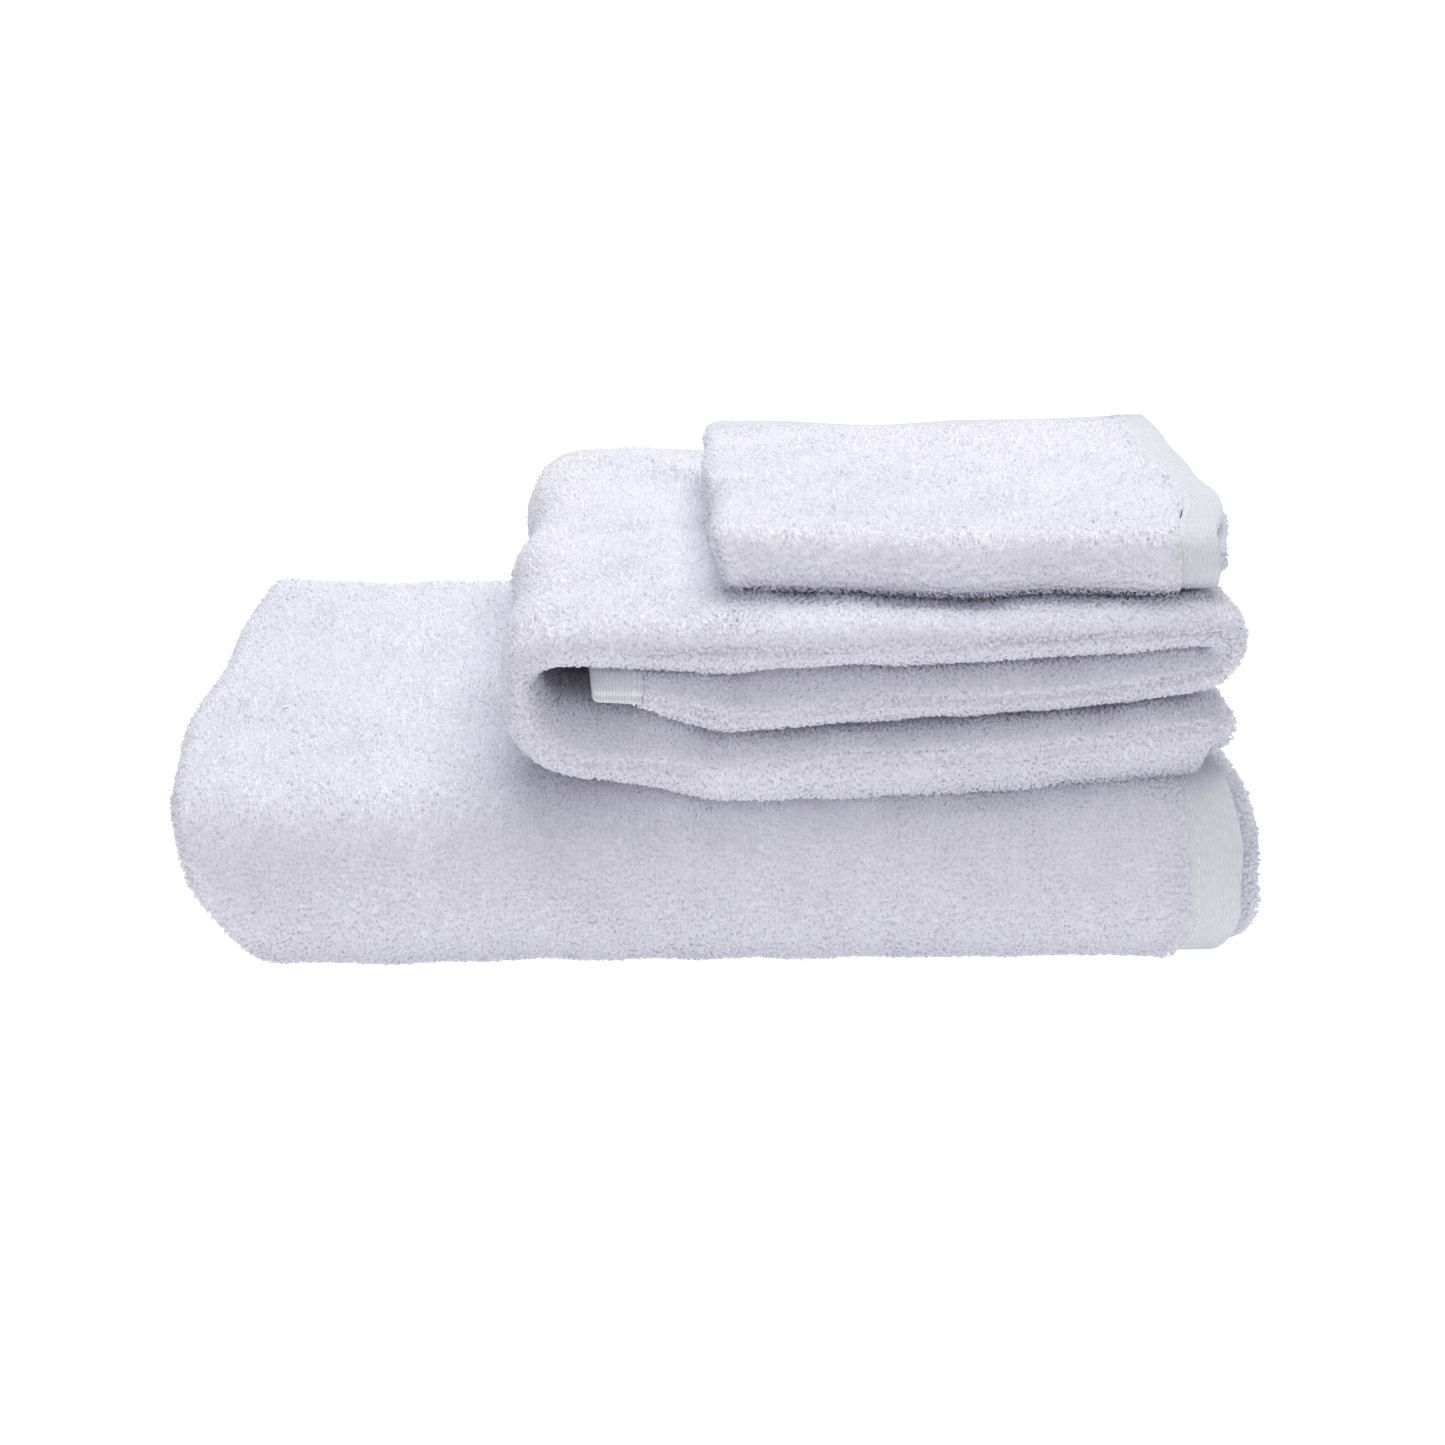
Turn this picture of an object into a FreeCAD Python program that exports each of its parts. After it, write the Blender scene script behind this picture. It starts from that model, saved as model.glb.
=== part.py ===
"""A folded terry bath towel set: a bath towel, a hand towel on it and a face cloth on top.

Every towel is one sheet of terry with a woven hem sewn along each of its four sides. The sheet is
folded in half across its width first, which gives a strip two plies thick with one folded edge
and one edge where both side hems lie. The strip is then folded along its length, and each piece
of it is a section carried along that fold path.

Axes: +Z up, -Y to the front, where the smooth folds face. The origin is on the surface that the
set stands on, under the middle of the whole stack.
"""

import FreeCAD, Part
import os

import Sketcher

DOC = FreeCAD.newDocument("towel_set")
SHEET = DOC.addObject("Spreadsheet::Sheet", "Sizes")

SIZES = {
    # shared by the three towels, in millimetres
    "fold_gap": (0.4, "air between two runs of a strip folded on itself"),
    "stack_gap": (0.4, "air between one towel and the next"),
    "hem_thick": (3.4, "thickness of a turned and sewn hem"),
    "thread_wide": (1.0, "width of a row of lock stitches"),
    "thread_thick": (0.5, "height of a row of lock stitches"),
    "stitch_inset": (2.0, "from the inner edge of a hem to its row of stitches"),
    # bath towel, folded in half along its length and then in thirds
    "bath_ply": (5.3, "thickness of one ply of its terry"),
    "bath_left_x": (-175.0, "folded edge of the strip"),
    "bath_width": (344.0, "from the folded edge to the edge of the upper side hem"),
    "bath_ply_lead": (6.0, "how far the lower ply reaches past the upper one"),
    "bath_side_hem": (17.0, "width of a side hem"),
    "bath_end_hem": (18.0, "width of an end hem"),
    "bath_bend_y": (-94.5, "middle of the bends at the front"),
    "bath_run": (200.0, "straight length between the front and back bends"),
    "bath_end_back": (1.0, "from the front bends back to the two tucked ends"),
    # hand towel, folded in four along its length, with a loose bend on the left
    "hand_ply": (6.9, "thickness of one ply of its terry"),
    "hand_front_y": (-125.0, "folded edge of the strip"),
    "hand_width": (245.0, "from the folded edge to the edge of the lower side hem"),
    "hand_ply_lead": (5.0, "how far one ply reaches past the other at the back"),
    "hand_side_hem": (16.0, "width of a side hem"),
    "hand_end_hem": (16.0, "width of an end hem"),
    "hand_bend_x": (-46.7, "middle of the loose bend on the left"),
    "hand_top_run": (198.1, "from the loose bend to the upper bend on the right"),
    "hand_low_run": (194.3, "from the loose bend to the lower bend on the right"),
    "hand_start_in": (5.2, "from the loose bend to the end that lies inside it"),
    "hand_tail_in": (14.7, "from the loose bend to the end that lies underneath"),
    # face cloth, folded in quarters
    "face_ply": (5.5, "thickness of one ply of its terry"),
    "face_left_x": (-5.0, "folded edge of the strip"),
    "face_width": (165.0, "from the folded edge to the edge of the upper side hem"),
    "face_ply_lead": (2.0, "how far the lower ply reaches past the upper one"),
    "face_side_hem": (12.5, "width of a side hem"),
    "face_end_hem": (12.5, "width of an end hem"),
    "face_bend_y": (-87.8, "middle of the bend at the front"),
    "face_run": (156.0, "straight length behind the front bend"),
}

for row, (alias, (number, meaning)) in enumerate(SIZES.items(), start=1):
    SHEET.set(f"A{row}", meaning)
    SHEET.set(f"B{row}", str(number))
    SHEET.setAlias(f"B{row}", alias)
DOC.recompute()


class Size:
    """A length with the expression that a sketch or a feature is bound to."""

    def __init__(self, value, text):
        self.value = value
        self.text = text

    def __add__(self, other):
        return Size(self.value + other.value, f"{self.text} + {other.text}")

    def __sub__(self, other):
        return Size(self.value - other.value, f"{self.text} - ({other.text})")

    def __mul__(self, number):
        return Size(self.value * number, f"({self.text}) * {number}")


def cell(alias):
    """The length in one cell of the sheet."""
    return Size(float(SHEET.get(alias)), f"Sizes.{alias}")


NOTHING = Size(0.0, "0")


class Towel:
    """Sizes that every piece of one towel shares.

    The run axis is the way the strip runs before its first bend, and the side axis goes across
    the strip, from its folded edge. Levels are counted from the lowest run of the strip.
    """

    def __init__(self, name, run_plane, side_plane, floor, outside):
        self.name = name
        self.run_plane = run_plane
        self.side_plane = side_plane
        self.floor = floor
        self.outside = outside
        self.ply = cell(f"{name}_ply")
        self.pitch = self.ply * 2 + cell("fold_gap")
        self.end_hem = cell(f"{name}_end_hem")
        self.side_hem = cell(f"{name}_side_hem")
        self.lead = cell(f"{name}_ply_lead")
        self.width = cell(f"{name}_width")
        self.first_edge = cell("hand_front_y") if name == "hand" else cell(f"{name}_left_x")
        self.last_edge = self.first_edge + self.width

    def level(self, count):
        """Height of the middle of a run."""
        return self.floor + self.ply + self.pitch * count

    def bend(self, levels):
        """Radius of the bend between two runs that are this many levels apart."""
        return self.pitch * (levels / 2)


def plane_of(body, role):
    """One of a body's own origin planes."""
    return [f for f in body.Origin.OriginFeatures if f.Role == role][0]


def new_sketch(body, role, name):
    """A sketch on one of the body's origin planes."""
    sketch = body.newObject("Sketcher::SketchObject", name)
    sketch.AttachmentSupport = [(plane_of(body, role), "")]
    sketch.MapMode = "FlatFace"
    return sketch


def bind(sketch, kind, where, size, label):
    """Adds one dimension to a sketch, bound to the sheet."""
    index = sketch.addConstraint(Sketcher.Constraint(kind, *where, size.value))
    sketch.renameConstraint(index, label)
    sketch.setExpression(f"Constraints.{label}", size.text)


def fold_path(body, towel, start, stops, bends, height, trims):
    """The line that the middle of the strip follows: level runs joined by half circles.

    start and stops are places along the run axis. Each bend is its radius and 1 for a bend
    upwards or -1 for one downwards. trims shorten the first and the last run.
    """
    sketch = new_sketch(body, towel.run_plane, "Path")
    way = 1 if stops[0].value > start.value else -1
    here = start + trims[0] if way > 0 else start - trims[0]
    level = height.value
    runs = []
    arcs = []
    for index, stop in enumerate(stops):
        if index == len(stops) - 1:
            stop = stop - trims[1] if way > 0 else stop + trims[1]
        ends = [FreeCAD.Vector(place.value, level, 0) for place in (here, stop)]
        runs.append(sketch.addGeometry(Part.LineSegment(*ends)))
        sketch.addConstraint(Sketcher.Constraint("Horizontal", runs[-1]))
        if index == 0:
            bind(sketch, "DistanceX", (-1, 1, runs[0], 1), here, "first_end")
            bind(sketch, "DistanceY", (-1, 1, runs[0], 1), height, "first_level")
        if index == len(stops) - 1:
            bind(sketch, "DistanceX", (-1, 1, runs[-1], 2), stop, "last_end")
            break
        radius, turn = bends[index]
        centre = FreeCAD.Vector(stop.value, level + turn * radius.value, 0)
        quarter = 1.5707963267948966
        first = -quarter if way > 0 else quarter
        circle = Part.Circle(centre, FreeCAD.Vector(0, 0, 1), radius.value)
        arcs.append(sketch.addGeometry(Part.ArcOfCircle(circle, first, first + 2 * quarter)))
        entry = 1 if way * turn > 0 else 2
        arcs[-1] = (arcs[-1], entry)
        level += 2 * turn * radius.value
        way = -way
        here = stop
    for index, (arc, entry) in enumerate(arcs):
        sketch.addConstraint(Sketcher.Constraint("Tangent", runs[index], 2, arc, entry))
        sketch.addConstraint(Sketcher.Constraint("Tangent", arc, 3 - entry, runs[index + 1], 1))
        bind(sketch, "Radius", (arc,), bends[index][0], f"bend_{index}")
        bind(sketch, "DistanceX", (-1, 1, arc, 3), stops[index], f"stop_{index}")
    return sketch


def section(body, towel, place, corners, rounded):
    """A closed section across the start of the path.

    corners are (side, height) pairs that step round the section, level and upright by turns,
    starting along the bottom. A rounded section closes with a half circle in place of its
    last side.
    """
    sketch = new_sketch(body, towel.side_plane, "Section")
    forward = 1 if towel.side_plane == "YZ_Plane" else -1
    sketch.AttachmentOffset = FreeCAD.Placement(
        FreeCAD.Vector(0, 0, forward * place.value), FreeCAD.Rotation()
    )
    sketch.setExpression("AttachmentOffset.Base.z", (place * forward).text)
    points = [FreeCAD.Vector(side.value, height.value, 0) for side, height in corners]
    count = len(points)
    lines = []
    for index in range(count - 1 if rounded else count):
        ends = (points[index], points[(index + 1) % count])
        lines.append(sketch.addGeometry(Part.LineSegment(*ends)))
        kind = "Horizontal" if index % 2 == 0 else "Vertical"
        sketch.addConstraint(Sketcher.Constraint(kind, lines[-1]))
    for index in range(len(lines) - 1):
        sketch.addConstraint(Sketcher.Constraint("Coincident", index, 2, index + 1, 1))
    for index in range(0, len(lines), 2):
        height = corners[index][1]
        bind(sketch, "DistanceY", (-1, 1, index, 1), height, f"height_{index}")
    for index in range(1, len(lines), 2):
        side = corners[index][0]
        bind(sketch, "DistanceX", (-1, 1, index, 1), side, f"side_{index}")
    if not rounded:
        sketch.addConstraint(Sketcher.Constraint("Coincident", count - 1, 2, 0, 1))
        return sketch
    low, high = points[0], points[-1]
    centre = (low + high) * 0.5
    quarter = 1.5707963267948966
    circle = Part.Circle(centre, FreeCAD.Vector(0, 0, 1), (high.y - low.y) / 2)
    arc = sketch.addGeometry(Part.ArcOfCircle(circle, quarter, 3 * quarter))
    sketch.addConstraint(Sketcher.Constraint("Tangent", len(lines) - 1, 2, arc, 1))
    sketch.addConstraint(Sketcher.Constraint("Tangent", arc, 2, 0, 1))
    bind(sketch, "DistanceX", (-1, 1, arc, 3), corners[0][0], "fold_middle")
    return sketch


def swept(label, towel, path, corners, trims=(NOTHING, NOTHING), rounded=False):
    """A piece that follows its towel's whole fold path with one section.

    corners give heights from the middle of the strip.
    """
    body = DOC.addObject("PartDesign::Body", label)
    body.Label = label
    start, stops, bends, height = path
    spine = fold_path(body, towel, start, stops, bends, height, trims)
    towards = 1 if stops[0].value > start.value else -1
    place = start + trims[0] if towards > 0 else start - trims[0]
    lifted = [(side, height + offset) for side, offset in corners]
    profile = section(body, towel, place, lifted, rounded)
    DOC.recompute()
    pipe = body.newObject("PartDesign::AdditivePipe", "Strip")
    pipe.Profile = profile
    pipe.Spine = (spine, [f"Edge{n + 1}" for n in range(len(spine.Geometry))])
    pipe.Mode = "Standard"
    body.Tip = pipe
    DOC.recompute()
    return body


def straight(label, towel, sides, length_range, heights):
    """A straight piece: a box from one place to another along each axis."""
    box = DOC.addObject("Part::Box", label)
    box.Label = label
    along, across = ("x", "y") if towel.side_plane == "YZ_Plane" else ("y", "x")
    spans = {along: length_range, across: sides, "z": heights}
    for axis, extent in (("x", "Length"), ("y", "Width"), ("z", "Height")):
        low, high = spans[axis]
        box.setExpression(extent, (high - low).text)
        box.setExpression(f"Placement.Base.{axis}", low.text)
    return box


def rectangle(side_low, side_high, low, high):
    """Corners of a plain section, round from its bottom."""
    return [(side_low, low), (side_high, low), (side_high, high), (side_low, high)]


def towel_pieces(towel, path):
    """Builds the terry, four hems and four rows of stitches of one towel.

    Args:
        towel: The towel's shared sizes.
        path: Start, stops, bends and first height of its fold path.
    """
    name = f"{towel.name}_towel" if towel.name != "face" else "face_cloth"
    ply = towel.ply
    nothing = NOTHING
    hem = towel.end_hem
    seam = towel.last_edge - towel.side_hem
    half_hem = cell("hem_thick") * 0.5
    thread = cell("thread_thick")
    up = towel.outside

    # The ply on the inside of the folds reaches further out than the other.
    if up > 0:
        stepped = [(seam + towel.lead, nothing - ply), (seam + towel.lead, nothing)]
        stepped += [(seam, nothing), (seam, ply)]
    else:
        stepped = [(seam, nothing - ply), (seam, nothing)]
        stepped += [(seam + towel.lead, nothing), (seam + towel.lead, ply)]
    fold_middle = towel.first_edge + ply
    terry = [(fold_middle, nothing - ply)] + stepped + [(fold_middle, ply)]
    swept(f"{name}_terry", towel, path, terry, (hem, hem), rounded=True)

    for which, side in (("outer", up), ("inner", -up)):
        lead = nothing if which == "outer" else towel.lead
        middle = ply * (0.5 * side)
        edges = (seam + lead, towel.last_edge + lead)
        band = rectangle(*edges, middle - half_hem, middle + half_hem)
        swept(f"{name}_side_hem_{which}", towel, path, band)
        inner_edge = seam + lead + cell("stitch_inset")
        outer_edge = inner_edge + cell("thread_wide")
        if side > 0:
            faces = (middle + half_hem, middle + half_hem + thread)
        else:
            faces = (middle - half_hem - thread, middle - half_hem)
        row = rectangle(inner_edge, outer_edge, *faces)
        swept(f"{name}_side_stitches_{which}", towel, path, row)

    start, stops, bends, height = path
    turned = height
    for radius, turn in bends:
        turned = turned + radius * (2 * turn)
    ends = (("a", start, height, stops[0]), ("b", stops[-1], turned, stops[-2]))
    for letter, tip, middle, beyond in ends:
        way = 1 if beyond.value > tip.value else -1
        root = tip + hem if way > 0 else tip - hem
        span = (tip, root) if way > 0 else (root, tip)
        sides = (towel.first_edge, seam)
        band = (middle - half_hem * 2, middle + half_hem * 2)
        straight(f"{name}_end_hem_{letter}", towel, sides, span, band)
        if way > 0:
            row_end = root - cell("stitch_inset")
            row = (row_end - cell("thread_wide"), row_end)
        else:
            row_end = root + cell("stitch_inset")
            row = (row_end, row_end + cell("thread_wide"))
        faces = (middle + half_hem * 2, middle + half_hem * 2 + thread)
        straight(f"{name}_end_stitches_{letter}", towel, sides, row, faces)


BATH = Towel("bath", "YZ_Plane", "XZ_Plane", NOTHING, 1)
BATH_TOP = BATH.level(5) + BATH.ply
HAND = Towel("hand", "XZ_Plane", "YZ_Plane", BATH_TOP + cell("stack_gap"), -1)
HAND_TOP = HAND.level(3) + HAND.ply
FACE = Towel("face", "YZ_Plane", "XZ_Plane", HAND_TOP + cell("stack_gap"), -1)

bath_front = cell("bath_bend_y")
bath_back = bath_front + cell("bath_run")
bath_end = bath_front + cell("bath_end_back")
BATH_PATH = (
    bath_end,
    [bath_back, bath_front, bath_back, bath_front, bath_back, bath_end],
    [
        (BATH.bend(3), -1),
        (BATH.bend(5), 1),
        (BATH.bend(1), -1),
        (BATH.bend(3), -1),
        (BATH.bend(1), 1),
    ],
    BATH.level(3),
)

hand_left = cell("hand_bend_x")
hand_high = hand_left + cell("hand_top_run")
hand_low = hand_left + cell("hand_low_run")
HAND_PATH = (
    hand_left + cell("hand_start_in"),
    [hand_high, hand_left, hand_low, hand_left + cell("hand_tail_in")],
    [(HAND.bend(1), 1), (HAND.bend(2), -1), (HAND.bend(1), -1)],
    HAND.level(2),
)

face_front = cell("face_bend_y")
face_back = face_front + cell("face_run")
FACE_PATH = (face_back, [face_front, face_back], [(FACE.bend(1), 1)], FACE.level(0))

towel_pieces(BATH, BATH_PATH)
towel_pieces(HAND, HAND_PATH)
towel_pieces(FACE, FACE_PATH)
DOC.recompute()

for thing in DOC.Objects:
    if {"Invalid", "Error"} & set(thing.State):
        raise RuntimeError(f"{thing.Label} failed: {thing.State}")

PIECES = [o for o in DOC.Objects if o.TypeId in ("PartDesign::Body", "Part::Box")]
for piece in PIECES:
    if piece.Shape.isNull() or not piece.Shape.isValid() or len(piece.Shape.Solids) != 1:
        raise RuntimeError(f"{piece.Label} is not one valid solid")

os.makedirs("parts", exist_ok=True)
for piece in PIECES:
    piece.Shape.exportStep(f"parts/{piece.Label}.step")
    box = piece.Shape.BoundBox
    extent = f"{box.XLength:.1f} x {box.YLength:.1f} x {box.ZLength:.1f} mm"
    print(f"{piece.Label}: {extent}, {piece.Shape.Volume / 1000:.2f} ml")
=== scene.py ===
"""Looks of a folded terry bath towel set: a bath towel, a hand towel on it and a face cloth on top.

Each towel is one sheet of terry folded across its width into a strip of two plies, and the strip
is folded along its length. A towel here is the strip's section carried along its fold path, with
woven hems, rows of lock stitches and a pile of small yarn loops standing on what shows.

Lengths are metres in the row frame: +Z up, -Y to the front. Places and sizes come from the boxes
of the jointed frame's own solids.
"""

from __future__ import annotations

import logging
import math
from dataclasses import dataclass, field, replace
from enum import Enum, IntEnum
from typing import Callable

import bpy
import numpy as np
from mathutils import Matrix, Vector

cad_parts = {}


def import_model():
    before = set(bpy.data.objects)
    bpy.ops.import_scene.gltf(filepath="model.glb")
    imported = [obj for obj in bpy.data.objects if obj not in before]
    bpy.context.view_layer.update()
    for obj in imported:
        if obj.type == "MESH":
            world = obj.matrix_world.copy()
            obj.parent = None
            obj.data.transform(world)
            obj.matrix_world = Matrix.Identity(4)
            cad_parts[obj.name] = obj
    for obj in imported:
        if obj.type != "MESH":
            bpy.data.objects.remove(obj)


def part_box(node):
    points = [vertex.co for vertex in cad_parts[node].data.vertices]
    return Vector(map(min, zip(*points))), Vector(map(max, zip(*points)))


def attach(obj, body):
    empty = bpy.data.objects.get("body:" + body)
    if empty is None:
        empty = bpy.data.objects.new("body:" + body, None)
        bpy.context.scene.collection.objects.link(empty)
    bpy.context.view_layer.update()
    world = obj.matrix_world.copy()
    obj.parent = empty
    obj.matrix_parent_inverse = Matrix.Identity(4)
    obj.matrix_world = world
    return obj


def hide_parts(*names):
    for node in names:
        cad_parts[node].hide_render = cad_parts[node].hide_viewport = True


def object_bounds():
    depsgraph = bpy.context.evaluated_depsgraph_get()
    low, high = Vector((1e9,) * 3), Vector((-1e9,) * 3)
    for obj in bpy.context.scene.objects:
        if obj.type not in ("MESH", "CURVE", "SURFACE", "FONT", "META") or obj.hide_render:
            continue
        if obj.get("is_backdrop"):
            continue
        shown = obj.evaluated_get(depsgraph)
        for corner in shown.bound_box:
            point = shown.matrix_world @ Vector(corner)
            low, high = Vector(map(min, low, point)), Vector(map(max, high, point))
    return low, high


LOG = logging.getLogger("towel_set")
MM = 0.001
FOLD_GAP = 0.4 * MM  # air between two levels of a folded strip
MOST_LOOPS = 24000  # loops in one piece, at eight triangles each
UV_NAME = "OFBake"
MAP_MARGIN = 0.03  # share of a body's map that is kept for each of its ends

Array = np.ndarray
Limits = tuple[float, float]
Triple = tuple[float, float, float]


class Slot(Enum):
    """Names of the towels' material slots."""

    TERRY = "terry"
    HEM = "hem"
    THREAD = "thread"


class Draw(IntEnum):
    """What each random draw is for: it is added to the towel's own seed."""

    SWELL = 0
    CREASE = 1
    COMB_ALONG = 2
    COMB_ACROSS = 3
    PILE_PLACES = 5
    FUZZ_PLACES = 7
    FUZZ_LOOPS = 8
    PILE_LOOPS = 10


# ---------------------------------------------------------------- small numpy helpers


def unit(vectors: Array) -> Array:
    """Vectors scaled to length one."""
    size = np.linalg.norm(vectors, axis=-1, keepdims=True)
    return vectors / np.maximum(size, 1e-12)


def ease(value: Array) -> Array:
    """Smooth step from 0 to 1: 3v^2 - 2v^3, with v held between 0 and 1."""
    v = np.clip(value, 0.0, 1.0)
    return v * v * (3.0 - 2.0 * v)


def ramp(value: Array, limits: Limits) -> Array:
    """Smooth step that starts at the first of two limits and is as wide as the second says."""
    start, width = limits
    return ease((value - start) / width)


@dataclass(frozen=True)
class Waves:
    """Soft unevenness: sine waves of random direction, length and phase, added up.

    height is the root-mean-square height, and the lengths are drawn between the two given.
    """

    height: float
    shortest: float
    longest: float
    seed: int
    count: int = 9

    def __call__(self, a: Array, b: Array) -> Array:
        """Height of the waves at two surface coordinates.

        Args:
            a: First coordinate.
            b: Second coordinate.

        Returns:
            The sum of sin(2 pi (a cos g + b sin g) / length + phase) over all waves, scaled.
        """
        rng = np.random.default_rng(self.seed)
        length = rng.uniform(self.shortest, self.longest, self.count)
        heading = rng.uniform(0.0, 2.0 * math.pi, self.count)
        phase = rng.uniform(0.0, 2.0 * math.pi, self.count)
        total = np.zeros(np.broadcast(a, b).shape)
        for one, way, shift in zip(length, heading, phase):
            total += np.sin(2.0 * math.pi * (a * math.cos(way) + b * math.sin(way)) / one + shift)
        return total * self.height * math.sqrt(2.0 / self.count)


# ---------------------------------------------------------------- meshes


def new_object(
    name: str,
    verts: Array,
    quads: Array,
    uv: Array,
    material: bpy.types.Material,
    normals: Array | None = None,
) -> bpy.types.Object:
    """Puts a quad mesh with one UV map into the scene.

    A closed form is turned so that its faces point outward: its volume has to be above zero.
    Open ribbons come with their own normals and already face the right way.

    Args:
        name: Name of the piece.
        verts: Vertex places, (n, 3).
        quads: Corner numbers, (m, 4).
        uv: Map place of every corner, (m, 4, 2).
        material: The piece's material.
        normals: Shading normal of every vertex, (n, 3), or None for the mesh's own.

    Returns:
        The new object, at the origin.
    """
    if normals is None:
        a, b, c, d = (verts[quads[:, k]] for k in range(4))
        volume = np.einsum("ij,ij->i", a, np.cross(b, c) + np.cross(c, d)).sum()
        if volume < 0.0:
            quads, uv = quads[:, ::-1], uv[:, ::-1]
    mesh = bpy.data.meshes.new(name)
    mesh.vertices.add(len(verts))
    mesh.vertices.foreach_set("co", verts.astype(np.float32).ravel())
    mesh.loops.add(quads.size)
    mesh.loops.foreach_set("vertex_index", quads.astype(np.int32).ravel())
    mesh.polygons.add(len(quads))
    mesh.polygons.foreach_set("loop_start", np.arange(0, quads.size, 4, dtype=np.int32))
    mesh.polygons.foreach_set("use_smooth", np.ones(len(quads), bool))
    layer = mesh.uv_layers.new(name=UV_NAME)
    layer.data.foreach_set("uv", np.clip(uv, 0.0, 1.0).astype(np.float32).ravel())
    mesh.update(calc_edges=True)
    mesh.validate()
    if normals is not None:
        mesh.normals_split_custom_set_from_vertices(normals.astype(np.float32))
    mesh.materials.append(material)
    made = bpy.data.objects.new(name, mesh)
    bpy.context.scene.collection.objects.link(made)
    return made


def ring_body(name: str, rings: Array, material: bpy.types.Material) -> bpy.types.Object:
    """A closed body from rings that follow one another.

    Ring j runs on to ring j + 1, and each end is closed by quads between point k and point
    m - 1 - k of its ring, so the two halves of a ring are the two sides of the piece.

    Args:
        name: Name of the piece.
        rings: Ring points, (n, m, 3) with m even.
        material: The piece's material.

    Returns:
        The new object. Its map has the length along u and the girth along v, both by real length,
        and its ends in the margins.
    """
    n, m, _ = rings.shape
    index = np.arange(n * m).reshape(n, m)
    following = np.roll(index, -1, axis=1)
    sides = np.stack([index[:-1], index[1:], following[1:], following[:-1]], axis=-1)
    half = np.arange(m // 2 - 1)
    cap = np.stack([half, half + 1, m - 2 - half, m - 1 - half], axis=-1)
    caps = [cap, cap[:, ::-1] + (n - 1) * m]

    step = np.linalg.norm(np.diff(rings, axis=0), axis=-1).mean(axis=1)
    along = np.concatenate([[0.0], np.cumsum(step)])
    girth = np.linalg.norm(np.roll(rings, -1, axis=1) - rings, axis=-1).mean(axis=0)
    around = np.concatenate([[0.0], np.cumsum(girth)])
    u = MAP_MARGIN + (1.0 - 2.0 * MAP_MARGIN) * along / along[-1]
    v = around / around[-1]
    u0, u1, v0, v1 = np.broadcast_arrays(u[:-1, None], u[1:, None], v[None, :-1], v[None, 1:])
    uv = np.stack(
        [np.stack(pair, -1) for pair in ((u0, v0), (u1, v0), (u1, v1), (u0, v1))], axis=-2
    )
    near, far = half / (m // 2 - 1), (half + 1) / (m // 2 - 1)
    cap_uv = [
        np.stack([np.stack([np.full(near.shape, x), y], -1) for x, y in corners], axis=-2)
        for corners in (
            ((0.002, near), (0.002, far), (0.02, far), (0.02, near)),
            ((0.98, near), (0.98, far), (0.998, far), (0.998, near)),
        )
    ]
    quads = np.concatenate([sides.reshape(-1, 4), *caps])
    coords = np.concatenate([uv.reshape(-1, 4, 2), *cap_uv])
    return new_object(name, rings.reshape(-1, 3), quads, coords, material)


# ---------------------------------------------------------------- fold path and strip


@dataclass(frozen=True)
class Station:
    """A place on a fold path, with the strip's half thickness and folded edge there.

    lip is how much thicker the outer side is just behind the folded edge.
    """

    along: float
    height: float
    half: float
    fold: float
    lip: float = 0.0

    def row(self, mark: float) -> Array:
        """The station as a row of numbers that ends in its number on the path."""
        return np.array([self.along, self.height, self.half, self.fold, self.lip, mark])


@dataclass(frozen=True)
class Turn:
    """A bend between two runs: its furthest place, and how square its curve is."""

    tip: Station
    square: float = 2.0


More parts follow.
